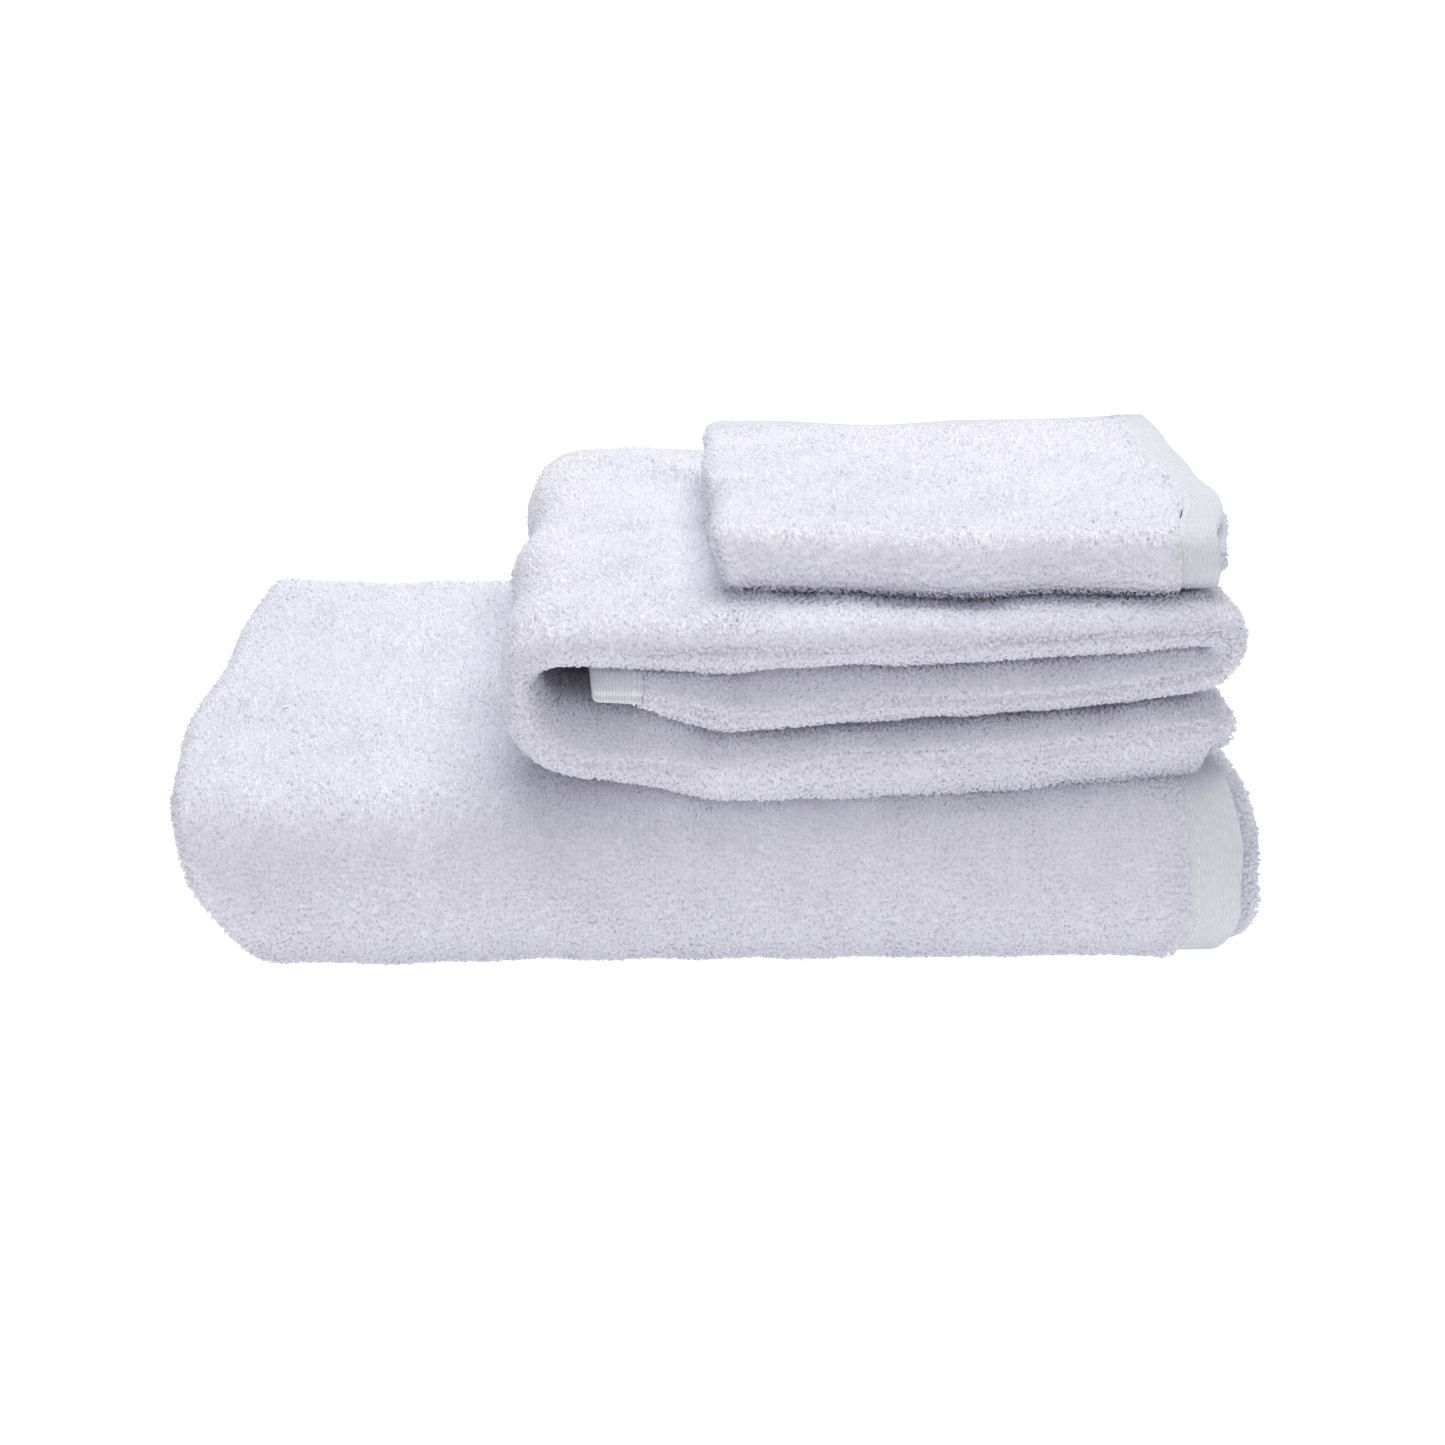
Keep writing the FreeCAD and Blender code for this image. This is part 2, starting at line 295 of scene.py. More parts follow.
class FoldPath:
    """The line that the middle of a strip follows, seen from the strip's side.

    Runs are straight between stations, and bends are two quarters of a superellipse each. The
    whole line is then laid out evenly by length and smoothed with a bell-shaped average. Its
    columns are a station's own numbers, and its mark is the station's number on the path.
    """

    step: float = 0.5 * MM
    run_rows: int = 40
    bend_rows: int = 30
    columns: int = 6
    straight: float = 0.002

    def __init__(
        self, stations: list[Station], turns: list[Turn | None], outside: int, soft: float
    ) -> None:
        """Lays out the path.

        Args:
            stations: Ends of the runs in order, two for each run.
            turns: Bends between the runs, or None where one run goes straight on into the next.
            outside: 1 if the strip's outer side is to the left of the way it runs, else -1.
            soft: Width of the smoothing.
        """
        rows = []
        for n in range(0, len(stations), 2):
            share = np.linspace(0.0, 1.0, self.run_rows)[:, None]
            first, last = stations[n].row(n), stations[n + 1].row(n + 1)
            rows.append(first + (last - first) * share)
            if n + 2 < len(stations) and turns[n // 2] is not None:
                rows.append(self.bend(last, turns[n // 2], stations[n + 2].row(n + 2)))
        line = self.even(np.concatenate(rows))
        reach = int(3.0 * soft / self.step)
        bell = np.exp(-0.5 * (np.arange(-reach, reach + 1) * self.step / soft) ** 2)
        before = line[0] + (line[0] - line[1]) * np.arange(reach, 0, -1)[:, None]
        after = line[-1] + (line[-1] - line[-2]) * np.arange(1, reach + 1)[:, None]
        padded = np.concatenate([before, line, after])
        bell /= bell.sum()
        smooth = [np.convolve(padded[:, k], bell, "valid") for k in range(self.columns)]
        self.line = self.even(np.stack(smooth, axis=-1))
        self.t = np.arange(len(self.line)) * self.step
        forward = unit(np.gradient(self.line[:, :2], axis=0))
        self.outward = np.stack([-forward[:, 1], forward[:, 0]], axis=-1) * outside
        self.length = float(self.t[-1])

    @classmethod
    def bend(cls, first: Array, turn: Turn, last: Array) -> Array:
        """Two quarters of a superellipse: sine and cosine to the power 2 / square.

        Args:
            first: Row of the station where the bend starts.
            turn: The bend.
            last: Row of the station where it ends.

        Returns:
            Rows from after the first station to the last, through the tip.
        """
        angle = np.linspace(0.0, math.pi / 2, cls.bend_rows)[1:, None]
        power = 2.0 / turn.square
        tip = turn.tip.row((first[-1] + last[-1]) / 2)
        rising, falling = np.sin(angle) ** power, np.clip(np.cos(angle), 0, 1) ** power
        into = first + (tip - first) * (1.0 - falling)
        into[:, :1] = first[:1] + (tip[:1] - first[:1]) * rising
        out = tip + (last - tip) * rising
        out[:, :1] = last[:1] + (tip[:1] - last[:1]) * falling
        return np.concatenate([into, out])

    @classmethod
    def even(cls, rows: Array) -> Array:
        """The same line with its rows at equal steps of length.

        Args:
            rows: Rows at uneven steps.

        Returns:
            Rows one step apart.
        """
        size = np.linalg.norm(np.diff(rows[:, :2], axis=0), axis=1)
        keep = np.concatenate([[True], size > 1e-7])
        rows = rows[keep]
        size = np.linalg.norm(np.diff(rows[:, :2], axis=0), axis=1)
        t = np.concatenate([[0.0], np.cumsum(size)])
        even_t = np.arange(0.0, t[-1], cls.step)
        return np.stack([np.interp(even_t, t, rows[:, k]) for k in range(cls.columns)], axis=-1)

    def t_at(self, mark: float) -> float:
        """Length along the path at a station's number, or between two of them."""
        return float(np.interp(mark, self.line[:, -1], self.t))

    def lip(self, t: Array) -> Array:
        """Extra thickness behind the folded edge."""
        return np.interp(t, self.t, self.line[:, 4])

    def read(self, t: Array) -> tuple[Array, Array, Array, Array]:
        """The strip's section at places along the path.

        Args:
            t: Lengths along the path.

        Returns:
            Middle line (along, height), outward direction, half thickness and folded edge.
        """
        columns = [np.interp(t, self.t, self.line[:, k]) for k in range(4)]
        outward = [np.interp(t, self.t, self.outward[:, k]) for k in range(2)]
        middle = np.stack(columns[:2], axis=-1)
        return middle, unit(np.stack(outward, axis=-1)), columns[2], columns[3]

    def samples(self, start: float, stop: float, coarse: float, fine: float) -> Array:
        """Places along the path, closer together where it bends.

        Args:
            start: Where they start.
            stop: Where they end.
            coarse: Their spacing on straight runs.
            fine: Their spacing in bends.

        Returns:
            Lengths along the path.
        """
        t = np.arange(start, stop, self.step)
        turning = np.interp(t, self.t[:-1], np.linalg.norm(np.diff(self.outward, axis=0), axis=1))
        spacing = np.where(turning > self.straight, fine, coarse)
        count = np.concatenate([[0.0], np.cumsum(self.step / spacing)])[:-1]
        return np.interp(np.linspace(0.0, count[-1], int(count[-1]) + 2), count, t)


@dataclass
class Strip:
    """A sheet folded in half across its width: two plies joined by a rounded folded edge.

    Its skin has two coordinates: t along the fold path, and q across the skin from the middle of
    the folded edge, above zero on the outer side and below zero on the inner side.

    The folded edge stands out by crest times the half thickness. Its crease wanders a little from
    the middle, by a wave of the first length high and 2 pi times the second long.
    """

    path: FoldPath
    across: int
    seam_out: float
    seam_in: float
    sway: Callable[[Array], Array]
    swell: Waves
    crease: Waves
    crest: float = 1.6
    crease_depth: float = 2.2 * MM
    crease_width: float = 1.4 * MM
    lip_width: float = 9.0 * MM
    crease_turn: float = 1.4
    wander: Limits = (0.8 * MM, 19.0 * MM)
    band_wave: float = 0.5 * MM
    band_power: Limits = (0.35, 0.6)
    coarse: float = 7.0 * MM
    fine: float = 2.2 * MM
    end_steps: tuple[float, ...] = (0.03, 0.12, 0.27, 0.5, 0.8)
    flat_power: float = 1.4
    air: float = 0.15 * MM
    ply_share: float = 0.75
    fold_rows: int = 18
    flat_rows: int = 30
    band_rows: int = 28

    def point(self, t: Array, side: Array, out: Array) -> Array:
        """Place in three dimensions.

        Args:
            t: Length along the path.
            side: Coordinate across the strip.
            out: Height out of the strip's middle.

        Returns:
            Places, (..., 3), after the towel's own lie.
        """
        middle, outward, _, _ = self.path.read(t)
        flat = middle + outward * out[..., None]
        run = 1 - self.across
        place = np.empty(flat.shape[:-1] + (3,))
        place[..., run] = flat[..., 0]
        place[..., 2] = flat[..., 1]
        place[..., self.across] = side
        return self.sway(place)

    def quarter(self, t: Array, q: Array, half: Array) -> Array:
        """Skin length from the middle of the folded edge to where a ply lies flat.

        Args:
            t: Length along the path.
            q: Coordinate across the skin, of which only the sign counts.
            half: Half thickness.

        Returns:
            A quarter of the ellipse's girth, taken as pi / 4 times the sum of its two half axes.
        """
        lip = np.where(q > 0.0, self.path.lip(t), 0.0)
        return (half * (1.0 + self.crest) + lip) * math.pi / 4

    def section(
        self, t: Array, q: Array, half: Array, inset: float = 0.0
    ) -> tuple[Array, Array, Array]:
        """Side coordinate, height out of the middle and slope, for places on the skin.

        The folded edge is half an ellipse: side = fold + c (1 - cos a), height = half sin a, with
        a = 90 degrees times q over the quarter length. Beyond it the ply is flat. On the outer
        side the lip adds to the height, and fades out behind the edge as exp(-(flat / width)^2).

        Args:
            t: Length along the path.
            q: Coordinate across the skin.
            half: Half thickness.
            inset: How far the folded edge lies back.

        Returns:
            Side coordinate, height, and slope from -1 on the inner side to 1 on the outer.
        """
        _, _, _, fold = self.path.read(t)
        quarter = self.quarter(t, q, half)
        a = np.clip(q / quarter, -1.0, 1.0) * math.pi / 2
        flat = np.maximum(np.abs(q) - quarter, 0.0)
        side = fold + inset + self.crest * half * (1.0 - np.cos(a)) + flat
        lip = np.where(q > 0.0, self.path.lip(t), 0.0) * np.exp(-((flat / self.lip_width) ** 2))
        return side, (half + lip) * np.sin(a), np.sin(a)

    def skin(self, t: Array, q: Array, thin: float | Array = 0.0) -> Array:
        """Places on the outside of the strip, with its soft swell and the crease of its fold.

        Args:
            t: Length along the path.
            q: Coordinate across the skin.
            thin: How far under the strip's own skin they are.

        Returns:
            Places, (..., 3). The crease is a groove exp(-(q / width)^2) deep that comes and goes.
        """
        t, q = np.broadcast_arrays(t, q)
        _, _, half, _ = self.path.read(t)
        half = half - thin
        side, out, slope = self.section(t, q, half, inset=thin)
        out = out + slope * self.swell(t, q)
        parting = 0.5 + 0.5 * np.tanh(self.crease_turn * self.crease(t, t * 0.0))
        high, long = self.wander
        where = q - high * np.sin(t / long)
        side = side + self.crease_depth * parting * np.exp(-((where / self.crease_width) ** 2))
        return self.point(t, side, out)

    def outward(self, t: Array) -> Array:
        """Direction out of the strip's outer side.

        Args:
            t: Length along the path.

        Returns:
            Directions of length one, (..., 3).
        """
        _, flat, _, _ = self.path.read(t)
        out = np.zeros(flat.shape[:-1] + (3,))
        out[..., 1 - self.across] = flat[..., 0]
        out[..., 2] = flat[..., 1]
        return out

    def frame(self, t: Array, q: Array, thin: float = 0.0) -> tuple[Array, Array, Array]:
        """Place, direction along the path and outward normal of places on the skin.

        Args:
            t: Length along the path.
            q: Coordinate across the skin.
            thin: How far under the strip's own skin they are.

        Returns:
            Three arrays, (..., 3). The normal is the cross product of two small steps.
        """
        small = 0.2 * MM
        place = self.skin(t, q, thin)
        ahead = unit(self.skin(t + small, q, thin) - self.skin(t - small, q, thin))
        over = unit(self.skin(t, q + small, thin) - self.skin(t, q - small, thin))
        middle, far = np.array([self.path.length / 2]), np.array([0.03])
        step = self.skin(middle + small, far, thin) - self.skin(middle - small, far, thin)
        rise = self.skin(middle, far + small, thin) - self.skin(middle, far - small, thin)
        way = np.sign((np.cross(step, rise) * self.outward(middle)).sum())
        return place, ahead, unit(np.cross(ahead, over)) * way

    def cloth(
        self,
        name: str,
        start: float,
        stop: float,
        thin: float,
        material: bpy.types.Material,
        rounded: Limits = (0.0, 0.0),
    ) -> bpy.types.Object:
        """The two plies between two places on the path, as one closed body.

        Args:
            name: Name of the piece.
            start: Where it starts along the path.
            stop: Where it ends.
            thin: How much thinner it is than the strip, on each side.
            material: Its material.
            rounded: Radius it is rounded off with at its start and at its end.

        Returns:
            The object: an outer skin and a narrow hollow between the plies, carried along t.
        """
        t = self.path.samples(start, stop, self.coarse, self.fine)
        for radius, end, way in zip(rounded, (start, stop), (1.0, -1.0), strict=True):
            t = np.append(t, end + way * radius * np.array(self.end_steps))
        t = np.unique(np.round(np.clip(t, start, stop), 6))[:, None]
        for radius, into in zip(rounded, (t - start, stop - t), strict=True):
            short = 1.0 - np.clip(into / max(radius, 1e-6), 0.0, 1.0)
            thin = thin + radius * (1.0 - np.sqrt(1.0 - short**2))
        _, _, half, fold = self.path.read(t)
        half = half - thin
        bent = np.linspace(-1.0, 1.0, self.fold_rows)[None, :]
        middle_q = self.quarter(t, bent, half) * bent
        flats = []
        for sign, seam in ((-1.0, self.seam_in), (1.0, self.seam_out)):
            far = seam - (fold + thin + self.crest * half)
            share = np.linspace(0.0, 1.0, self.flat_rows)[None, 1:] ** self.flat_power
            flats.append(sign * (self.quarter(t, sign + bent[:, :1] * 0.0, half) + far * share))
        q = np.concatenate([flats[0][:, ::-1], middle_q, flats[1]], axis=1)
        outer = self.skin(t, q, thin)
        side, out, slope = self.section(t, q, half, inset=thin)
        ply = half * self.ply_share
        inner_side = np.maximum(side, fold + thin + ply + (1.0 - np.abs(slope)) * self.air)
        inner = self.point(t, inner_side, np.clip(out, -self.air, self.air))
        return ring_body(name, np.concatenate([outer, inner[:, ::-1]], axis=1), material)

    def band(
        self, name: str, sides: Limits, share: float, thick: float, material: bpy.types.Material
    ) -> bpy.types.Object:
        """A flat ribbon along the whole path: a superellipse section between two sides.

        Args:
            name: Name of the piece.
            sides: Its two edges across the strip.
            share: Height of its middle, as a share of the strip's half thickness.
            thick: Its thickness.
            material: Its material.

        Returns:
            The object.
        """
        t = self.path.samples(0.0, self.path.length, self.coarse, self.fine)[:, None]
        angle = (np.arange(self.band_rows) + 0.5) * 2.0 * math.pi / self.band_rows
        wave = self.crease(t * 1.3, t * 0.0 + sides[0]) * self.band_wave
        across = np.sign(np.cos(angle)) * np.abs(np.cos(angle)) ** self.band_power[0]
        up = np.sign(np.sin(angle)) * np.abs(np.sin(angle)) ** self.band_power[1]
        side = (sides[0] + sides[1]) / 2 + (sides[1] - sides[0]) / 2 * across + wave
        _, _, half, _ = self.path.read(t)
        out = share * half + thick / 2 * up
        return ring_body(name, self.point(t, side, out), material)


# ---------------------------------------------------------------- pile and stitches


@dataclass(frozen=True)
class Loops:
    """The yarn loops of the pile: each is a narrow ribbon arched over from foot to foot.

    heights and widths are the limits between which each loop's own factor is drawn.
    """

    height: float = 1.85 * MM
    width: float = 0.95 * MM
    foot: float = 1.9 * MM
    spacing: float = 1.27 * MM
    lean: float = 0.22
    stray: float = 0.7
    softness: float = 0.68
    round_off: float = 0.6
    rows: int = 5
    heights: Limits = (0.75, 1.15)
    widths: Limits = (0.8, 1.15)
    sunk: float = 0.35 * MM
    squareness: float = 0.75
    waist: float = 0.28
    map_width: float = 0.012

    def mesh(
        self,
        name: str,
        place: Array,
        normal: Array,
        ahead: Array,
        seed: int,
        material: bpy.types.Material,
        lowest: float,
        taller: Array,
        comb: Array,
    ) -> bpy.types.Object:
        """Loops standing on many places, as one piece.

        A loop's middle line is foot (1 - cos u) / 2 across and height sin(u)^squareness up, for u
        from 0 to 180 degrees, and it leans over by the square of its height. Its shading normals
        lie between the cloth's own normal and that of a round yarn.

        Args:
            name: Name of the piece.
            place: Feet of the loops, (n, 3).
            normal: The way each stands, (n, 3).
            ahead: A direction in the surface, (n, 3).
            seed: Start of the random draws.
            material: Their material.
            lowest: Height below which no loop goes.
            taller: Factor on each loop's height, (n,).
            comb: How far each is combed over along and across the surface, (n, 2).

        Returns:
            The object. Its map has a random shade along u and the height along v.
        """
        rng = np.random.default_rng(seed)
        count = len(place)
        beside = np.cross(normal, ahead)
        heading = rng.normal(math.pi / 2, self.stray, count)[:, None]
        arch = ahead * np.cos(heading) + beside * np.sin(heading)
        flat = np.cross(normal, arch)
        tilt = rng.normal(0.0, self.lean, (count, 2)) + comb
        fall = ahead * tilt[:, :1] + beside * tilt[:, 1:]
        tall = (self.height * taller * rng.uniform(*self.heights, count))[:, None, None]
        wide = self.width * rng.uniform(*self.widths, count)[:, None, None]
        u = np.linspace(0.0, math.pi, self.rows)
        rise = (np.sin(u) ** self.squareness)[None, :, None]
        over = ((1.0 - np.cos(u)) / 2.0 - 0.5)[None, :, None]
        line = place[:, None] + arch[:, None] * self.foot * over
        line = line + normal[:, None] * (tall * rise - self.sunk)
        line = line + fall[:, None] * tall * rise**2
        twist = rng.uniform(-0.5, 0.5, count)[:, None, None] * np.cos(u)[None, :, None]
        edge = unit(flat[:, None] + arch[:, None] * twist) * wide / 2
        narrow = (1.0 - self.waist + self.waist * np.sin(u))[None, :, None]
        verts = np.stack([line - edge * narrow, line + edge * narrow], axis=2)
        verts[..., 2] = np.maximum(verts[..., 2], lowest)
        own = unit(np.cross(np.gradient(line, axis=1), edge))
        own = own * np.sign((own[:, self.rows // 2] * normal).sum(axis=-1))[:, None, None]
        aside = unit(edge) * self.round_off
        rounded = np.stack([own - aside, own + aside], axis=2)
        soft = normal[:, None, None] * self.softness + rounded * (1.0 - self.softness)
        index = np.arange(count * self.rows * 2).reshape(count, self.rows, 2)
        quads = np.stack(
            [index[:, :-1, 0], index[:, 1:, 0], index[:, 1:, 1], index[:, :-1, 1]], axis=-1
        )
        shade = rng.uniform(0.03, 0.97, count)
        left, right = (
            np.repeat(shade + aside, self.rows - 1) for aside in (-self.map_width, self.map_width)
        )
        grade = 0.02 + 0.96 * u / math.pi
        v0 = np.tile(grade[:-1], count)
        v1 = np.tile(grade[1:], count)
        corners = ((left, v0), (left, v1), (right, v1), (right, v0))
        uv = np.stack([np.stack(corner, axis=-1) for corner in corners], axis=1)
        return new_object(
            name,
            verts.reshape(-1, 3),
            quads.reshape(-1, 4),
            uv,
            material,
            unit(soft).reshape(-1, 3),
        )


def scatter(
    rng: np.random.Generator, t_range: Limits, q_range: Limits, spacing: float
) -> tuple[Array, Array]:
    """Places on a jittered grid.

    Args:
        rng: Random source.
        t_range: Limits along the path.
        q_range: Limits across the skin.
        spacing: Distance between neighbours.

    Returns:
        Two flat arrays, t and q.
    """
    t = np.arange(t_range[0] + spacing / 2, t_range[1], spacing)
    q = np.arange(q_range[0] + spacing / 2, q_range[1], spacing)
    grid_t, grid_q = np.meshgrid(t, q, indexing="ij")
    jitter = 0.38  # share of the spacing
    grid_t = grid_t + rng.uniform(-jitter, jitter, grid_t.shape) * spacing
    grid_q = grid_q + rng.uniform(-jitter, jitter, grid_q.shape) * spacing
    return grid_t.ravel(), grid_q.ravel()


@dataclass(frozen=True)
class Stitches:
    """A row of lock stitches: short drops of thread end to end along a line.

    rings are where along a stitch its section is drawn, from -1 to 1.
    """

    pitch: float = 3.1 * MM
    length: float = 2.5 * MM
    width: float = 0.62 * MM
    arch: float = 0.22 * MM
    rings: tuple[float, ...] = (-0.97, -0.6, 0.0, 0.6, 0.97)
    corners: int = 6

    def mesh(
        self, name: str, line: Array, normal: Array, material: bpy.types.Material
    ) -> bpy.types.Object:
        """Stitches along one or more lines of places.

        Each is a spindle: radius width/2 sqrt(1 - v^2) round a middle line that rises in the
        middle, for v from -1 to 1.

        Args:
            name: Name of the piece.
            line: Stitch middles, (n, 3), with their neighbours giving the way they run.
            normal: Outward direction at each, (n, 3).
            material: Their material.

        Returns:
            The object.
        """
        ahead = unit(np.gradient(line, axis=0))
        beside = unit(np.cross(normal, ahead))
        v = np.array(self.rings)
        angle = np.arange(self.corners) * 2.0 * math.pi / self.corners
        radius = np.sqrt(1.0 - v**2) * self.width / 2
        middle = line[:, None] + ahead[:, None] * (v * self.length / 2)[None, :, None]
        middle = middle + normal[:, None] * ((1.0 - v**2) * self.arch)[None, :, None]
        round_side = beside[:, None, None] * (radius[:, None] * np.cos(angle))[None, ..., None]
        round_up = normal[:, None, None] * (radius[:, None] * np.sin(angle))[None, ..., None]
        verts = middle[:, :, None] + round_side + round_up
        count = len(line)
        shape = (count, len(v), self.corners)
        index = np.arange(math.prod(shape)).reshape(shape)
        beyond = np.roll(index, -1, axis=2)
        sides = np.stack([index[:, :-1], index[:, 1:], beyond[:, 1:], beyond[:, :-1]], axis=-1)
        first = index[:, 0][:, [[0, 1, 2, 3], [0, 3, 4, 5]]]
        last = index[:, -1][:, [[3, 2, 1, 0], [5, 4, 3, 0]]]
        quads = np.concatenate([sides.reshape(-1, 4), first.reshape(-1, 4), last.reshape(-1, 4)])
        corner = np.array([[0.1, 0.1], [0.9, 0.1], [0.9, 0.9], [0.1, 0.9]])
        uv = np.broadcast_to(corner, (len(quads), 4, 2)).copy()
        return new_object(name, verts.reshape(-1, 3), quads, uv, material)


# ---------------------------------------------------------------- finishes


class Tree:
    """A short way to write a node tree."""

    def __init__(self, tree: bpy.types.NodeTree) -> None:
        """Keeps the tree."""
        self.tree = tree

    def add(self, kind: str, inputs: dict | None = None, **settings: object) -> bpy.types.Node:
        """A new node.

        Args:
            kind: Node type name.
            inputs: Socket name or number to a plain value, or to a socket that feeds it.
            settings: The node's own properties.

        Returns:
            The node.
        """
        node = self.tree.nodes.new(kind)
        for key, value in settings.items():
            setattr(node, key, value)
        for key, value in (inputs or {}).items():
            if isinstance(value, bpy.types.NodeSocket):
                self.tree.links.new(value, node.inputs[key])
            else:
                node.inputs[key].default_value = value
        return node

    def link(self, source: bpy.types.NodeSocket, target: bpy.types.NodeSocket) -> None:
        """A new link."""
        self.tree.links.new(source, target)

    def math(
        self, operation: str, *values: float | bpy.types.NodeSocket
    ) -> bpy.types.NodeSocket:
        """Output of a Math node."""
        return self.add("ShaderNodeMath", dict(enumerate(values)), operation=operation).outputs[0]


def mix_colours(
    tree: Tree,
    factor: bpy.types.NodeSocket,
    first: bpy.types.NodeSocket | tuple[float, ...],
    second: bpy.types.NodeSocket | tuple[float, ...],
) -> bpy.types.NodeSocket:
    """A Mix node between two colours.

    Args:
        tree: The tree that it goes into.
        factor: How much of the second there is.
        first: A colour, or the socket of one.
        second: The other.

    Returns:
        The mixed colour.
    """
    mix = tree.add("ShaderNodeMix", {0: factor}, data_type="RGBA")
    for name, given in (("A", first), ("B", second)):
        socket = next(i for i in mix.inputs if i.name == name and i.type == "RGBA")
        if isinstance(given, bpy.types.NodeSocket):
            tree.link(given, socket)
        else:
            socket.default_value = given
    return next(o for o in mix.outputs if o.type == "RGBA")


def new_group(
    name: str, sockets: list[tuple[str, str, str]]
) -> tuple[Tree, bpy.types.NodeOutputs, bpy.types.NodeInputs]:
    """An empty shader node group.

    Args:
        name: Name of the group.
        sockets: Name, INPUT or OUTPUT, and socket type of each socket.

    Returns:
        The group's tree, its inputs as sockets to read, and its outputs as sockets to feed.
    """
    group = bpy.data.node_groups.new(name, "ShaderNodeTree")
    for label, way, kind in sockets:
        group.interface.new_socket(label, in_out=way, socket_type=kind)
    tree = Tree(group)
    return tree, tree.add("NodeGroupInput").outputs, tree.add("NodeGroupOutput").inputs


def mottle_group() -> bpy.types.NodeTree:
    """Cloudy change of shade in cotton: two sizes of noise, as a factor near one.

    Returns:
        The group.
    """
    tree, given, made = new_group(
        "cotton_mottle",
        [
            ("Vector", "INPUT", "NodeSocketVector"),
            ("Colour", "INPUT", "NodeSocketColor"),
            ("Amount", "INPUT", "NodeSocketFloat"),
            ("Colour", "OUTPUT", "NodeSocketColor"),
        ],
    )
    place, wide_scale, fine_scale = given["Vector"], 28.0, 420.0
    wide = tree.add("ShaderNodeTexNoise", {"Vector": place, "Scale": wide_scale, "Detail": 2.0})
    fine = tree.add("ShaderNodeTexNoise", {"Vector": place, "Scale": fine_scale})
    both = tree.math("ADD", wide.outputs[0], fine.outputs[0])
    swing = tree.math("MULTIPLY", tree.math("SUBTRACT", both, 1.0), given["Amount"])
    factor = tree.math("ADD", swing, 1.0)
    scaled = tree.add("ShaderNodeVectorMath", {0: given["Colour"], 3: factor}, operation="SCALE")
    tree.link(scaled.outputs[0], made["Colour"])
    return tree.tree


def yarn_group() -> bpy.types.NodeTree:
    """Colour of one yarn loop: painted shade makes it darker towards its feet, and each loop is a
    little off the next at random.

    Returns:
        The group.
    """
    tree, given, made = new_group(
        "yarn_tone_and_painted_shade",
        [
            ("Random", "INPUT", "NodeSocketFloat"),
            ("Along", "INPUT", "NodeSocketFloat"),
            ("Foot", "INPUT", "NodeSocketColor"),
            ("Top", "INPUT", "NodeSocketColor"),
            ("Spread", "INPUT", "NodeSocketFloat"),
            ("Colour", "OUTPUT", "NodeSocketColor"),
        ],
    )
    # Painted shade: the foot colour at both ends of a loop, the top colour over its middle.
    rise = tree.math("SINE", tree.math("MULTIPLY", given["Along"], math.pi))
    blended = mix_colours(tree, rise, given["Foot"], given["Top"])
    off = tree.math("MULTIPLY", tree.math("SUBTRACT", given["Random"], 0.5), given["Spread"])
    factor = tree.math("ADD", off, 1.0)
    scaled = tree.add("ShaderNodeVectorMath", {0: blended, 3: factor}, operation="SCALE")
    tree.link(scaled.outputs[0], made["Colour"])
    return tree.tree


def rib_group() -> bpy.types.NodeTree:
    """Woven ribs that run along a ribbon, crossed by finer picks, as a height from 0 to 1.

    Returns:
        The group.
    """
    tree, given, made = new_group(
        "woven_ribs",
        [
            ("Vector", "INPUT", "NodeSocketVector"),
            ("Ribs", "INPUT", "NodeSocketFloat"),
            ("Picks", "INPUT", "NodeSocketFloat"),
            ("Rib share", "INPUT", "NodeSocketFloat"),
            ("Height", "OUTPUT", "NodeSocketFloat"),
        ],
    )
    parts = tree.add("ShaderNodeSeparateXYZ", {0: given["Vector"]}).outputs
    waves = []
    for axis, count in ((1, "Ribs"), (0, "Picks")):
        turn = tree.math("MULTIPLY", tree.math("MULTIPLY", parts[axis], given[count]), 2 * math.pi)
        waves.append(tree.math("MULTIPLY_ADD", tree.math("SINE", turn), 0.5, 0.5))
    rest = tree.math("SUBTRACT", 1.0, given["Rib share"])
    picks = tree.math("MULTIPLY", waves[1], rest)
    weave = tree.math("MULTIPLY_ADD", waves[0], given["Rib share"], picks)
    tree.link(weave, made["Height"])
    return tree.tree


GROUPS: dict[str, bpy.types.NodeTree] = {}  # the shared groups by name, filled once by main


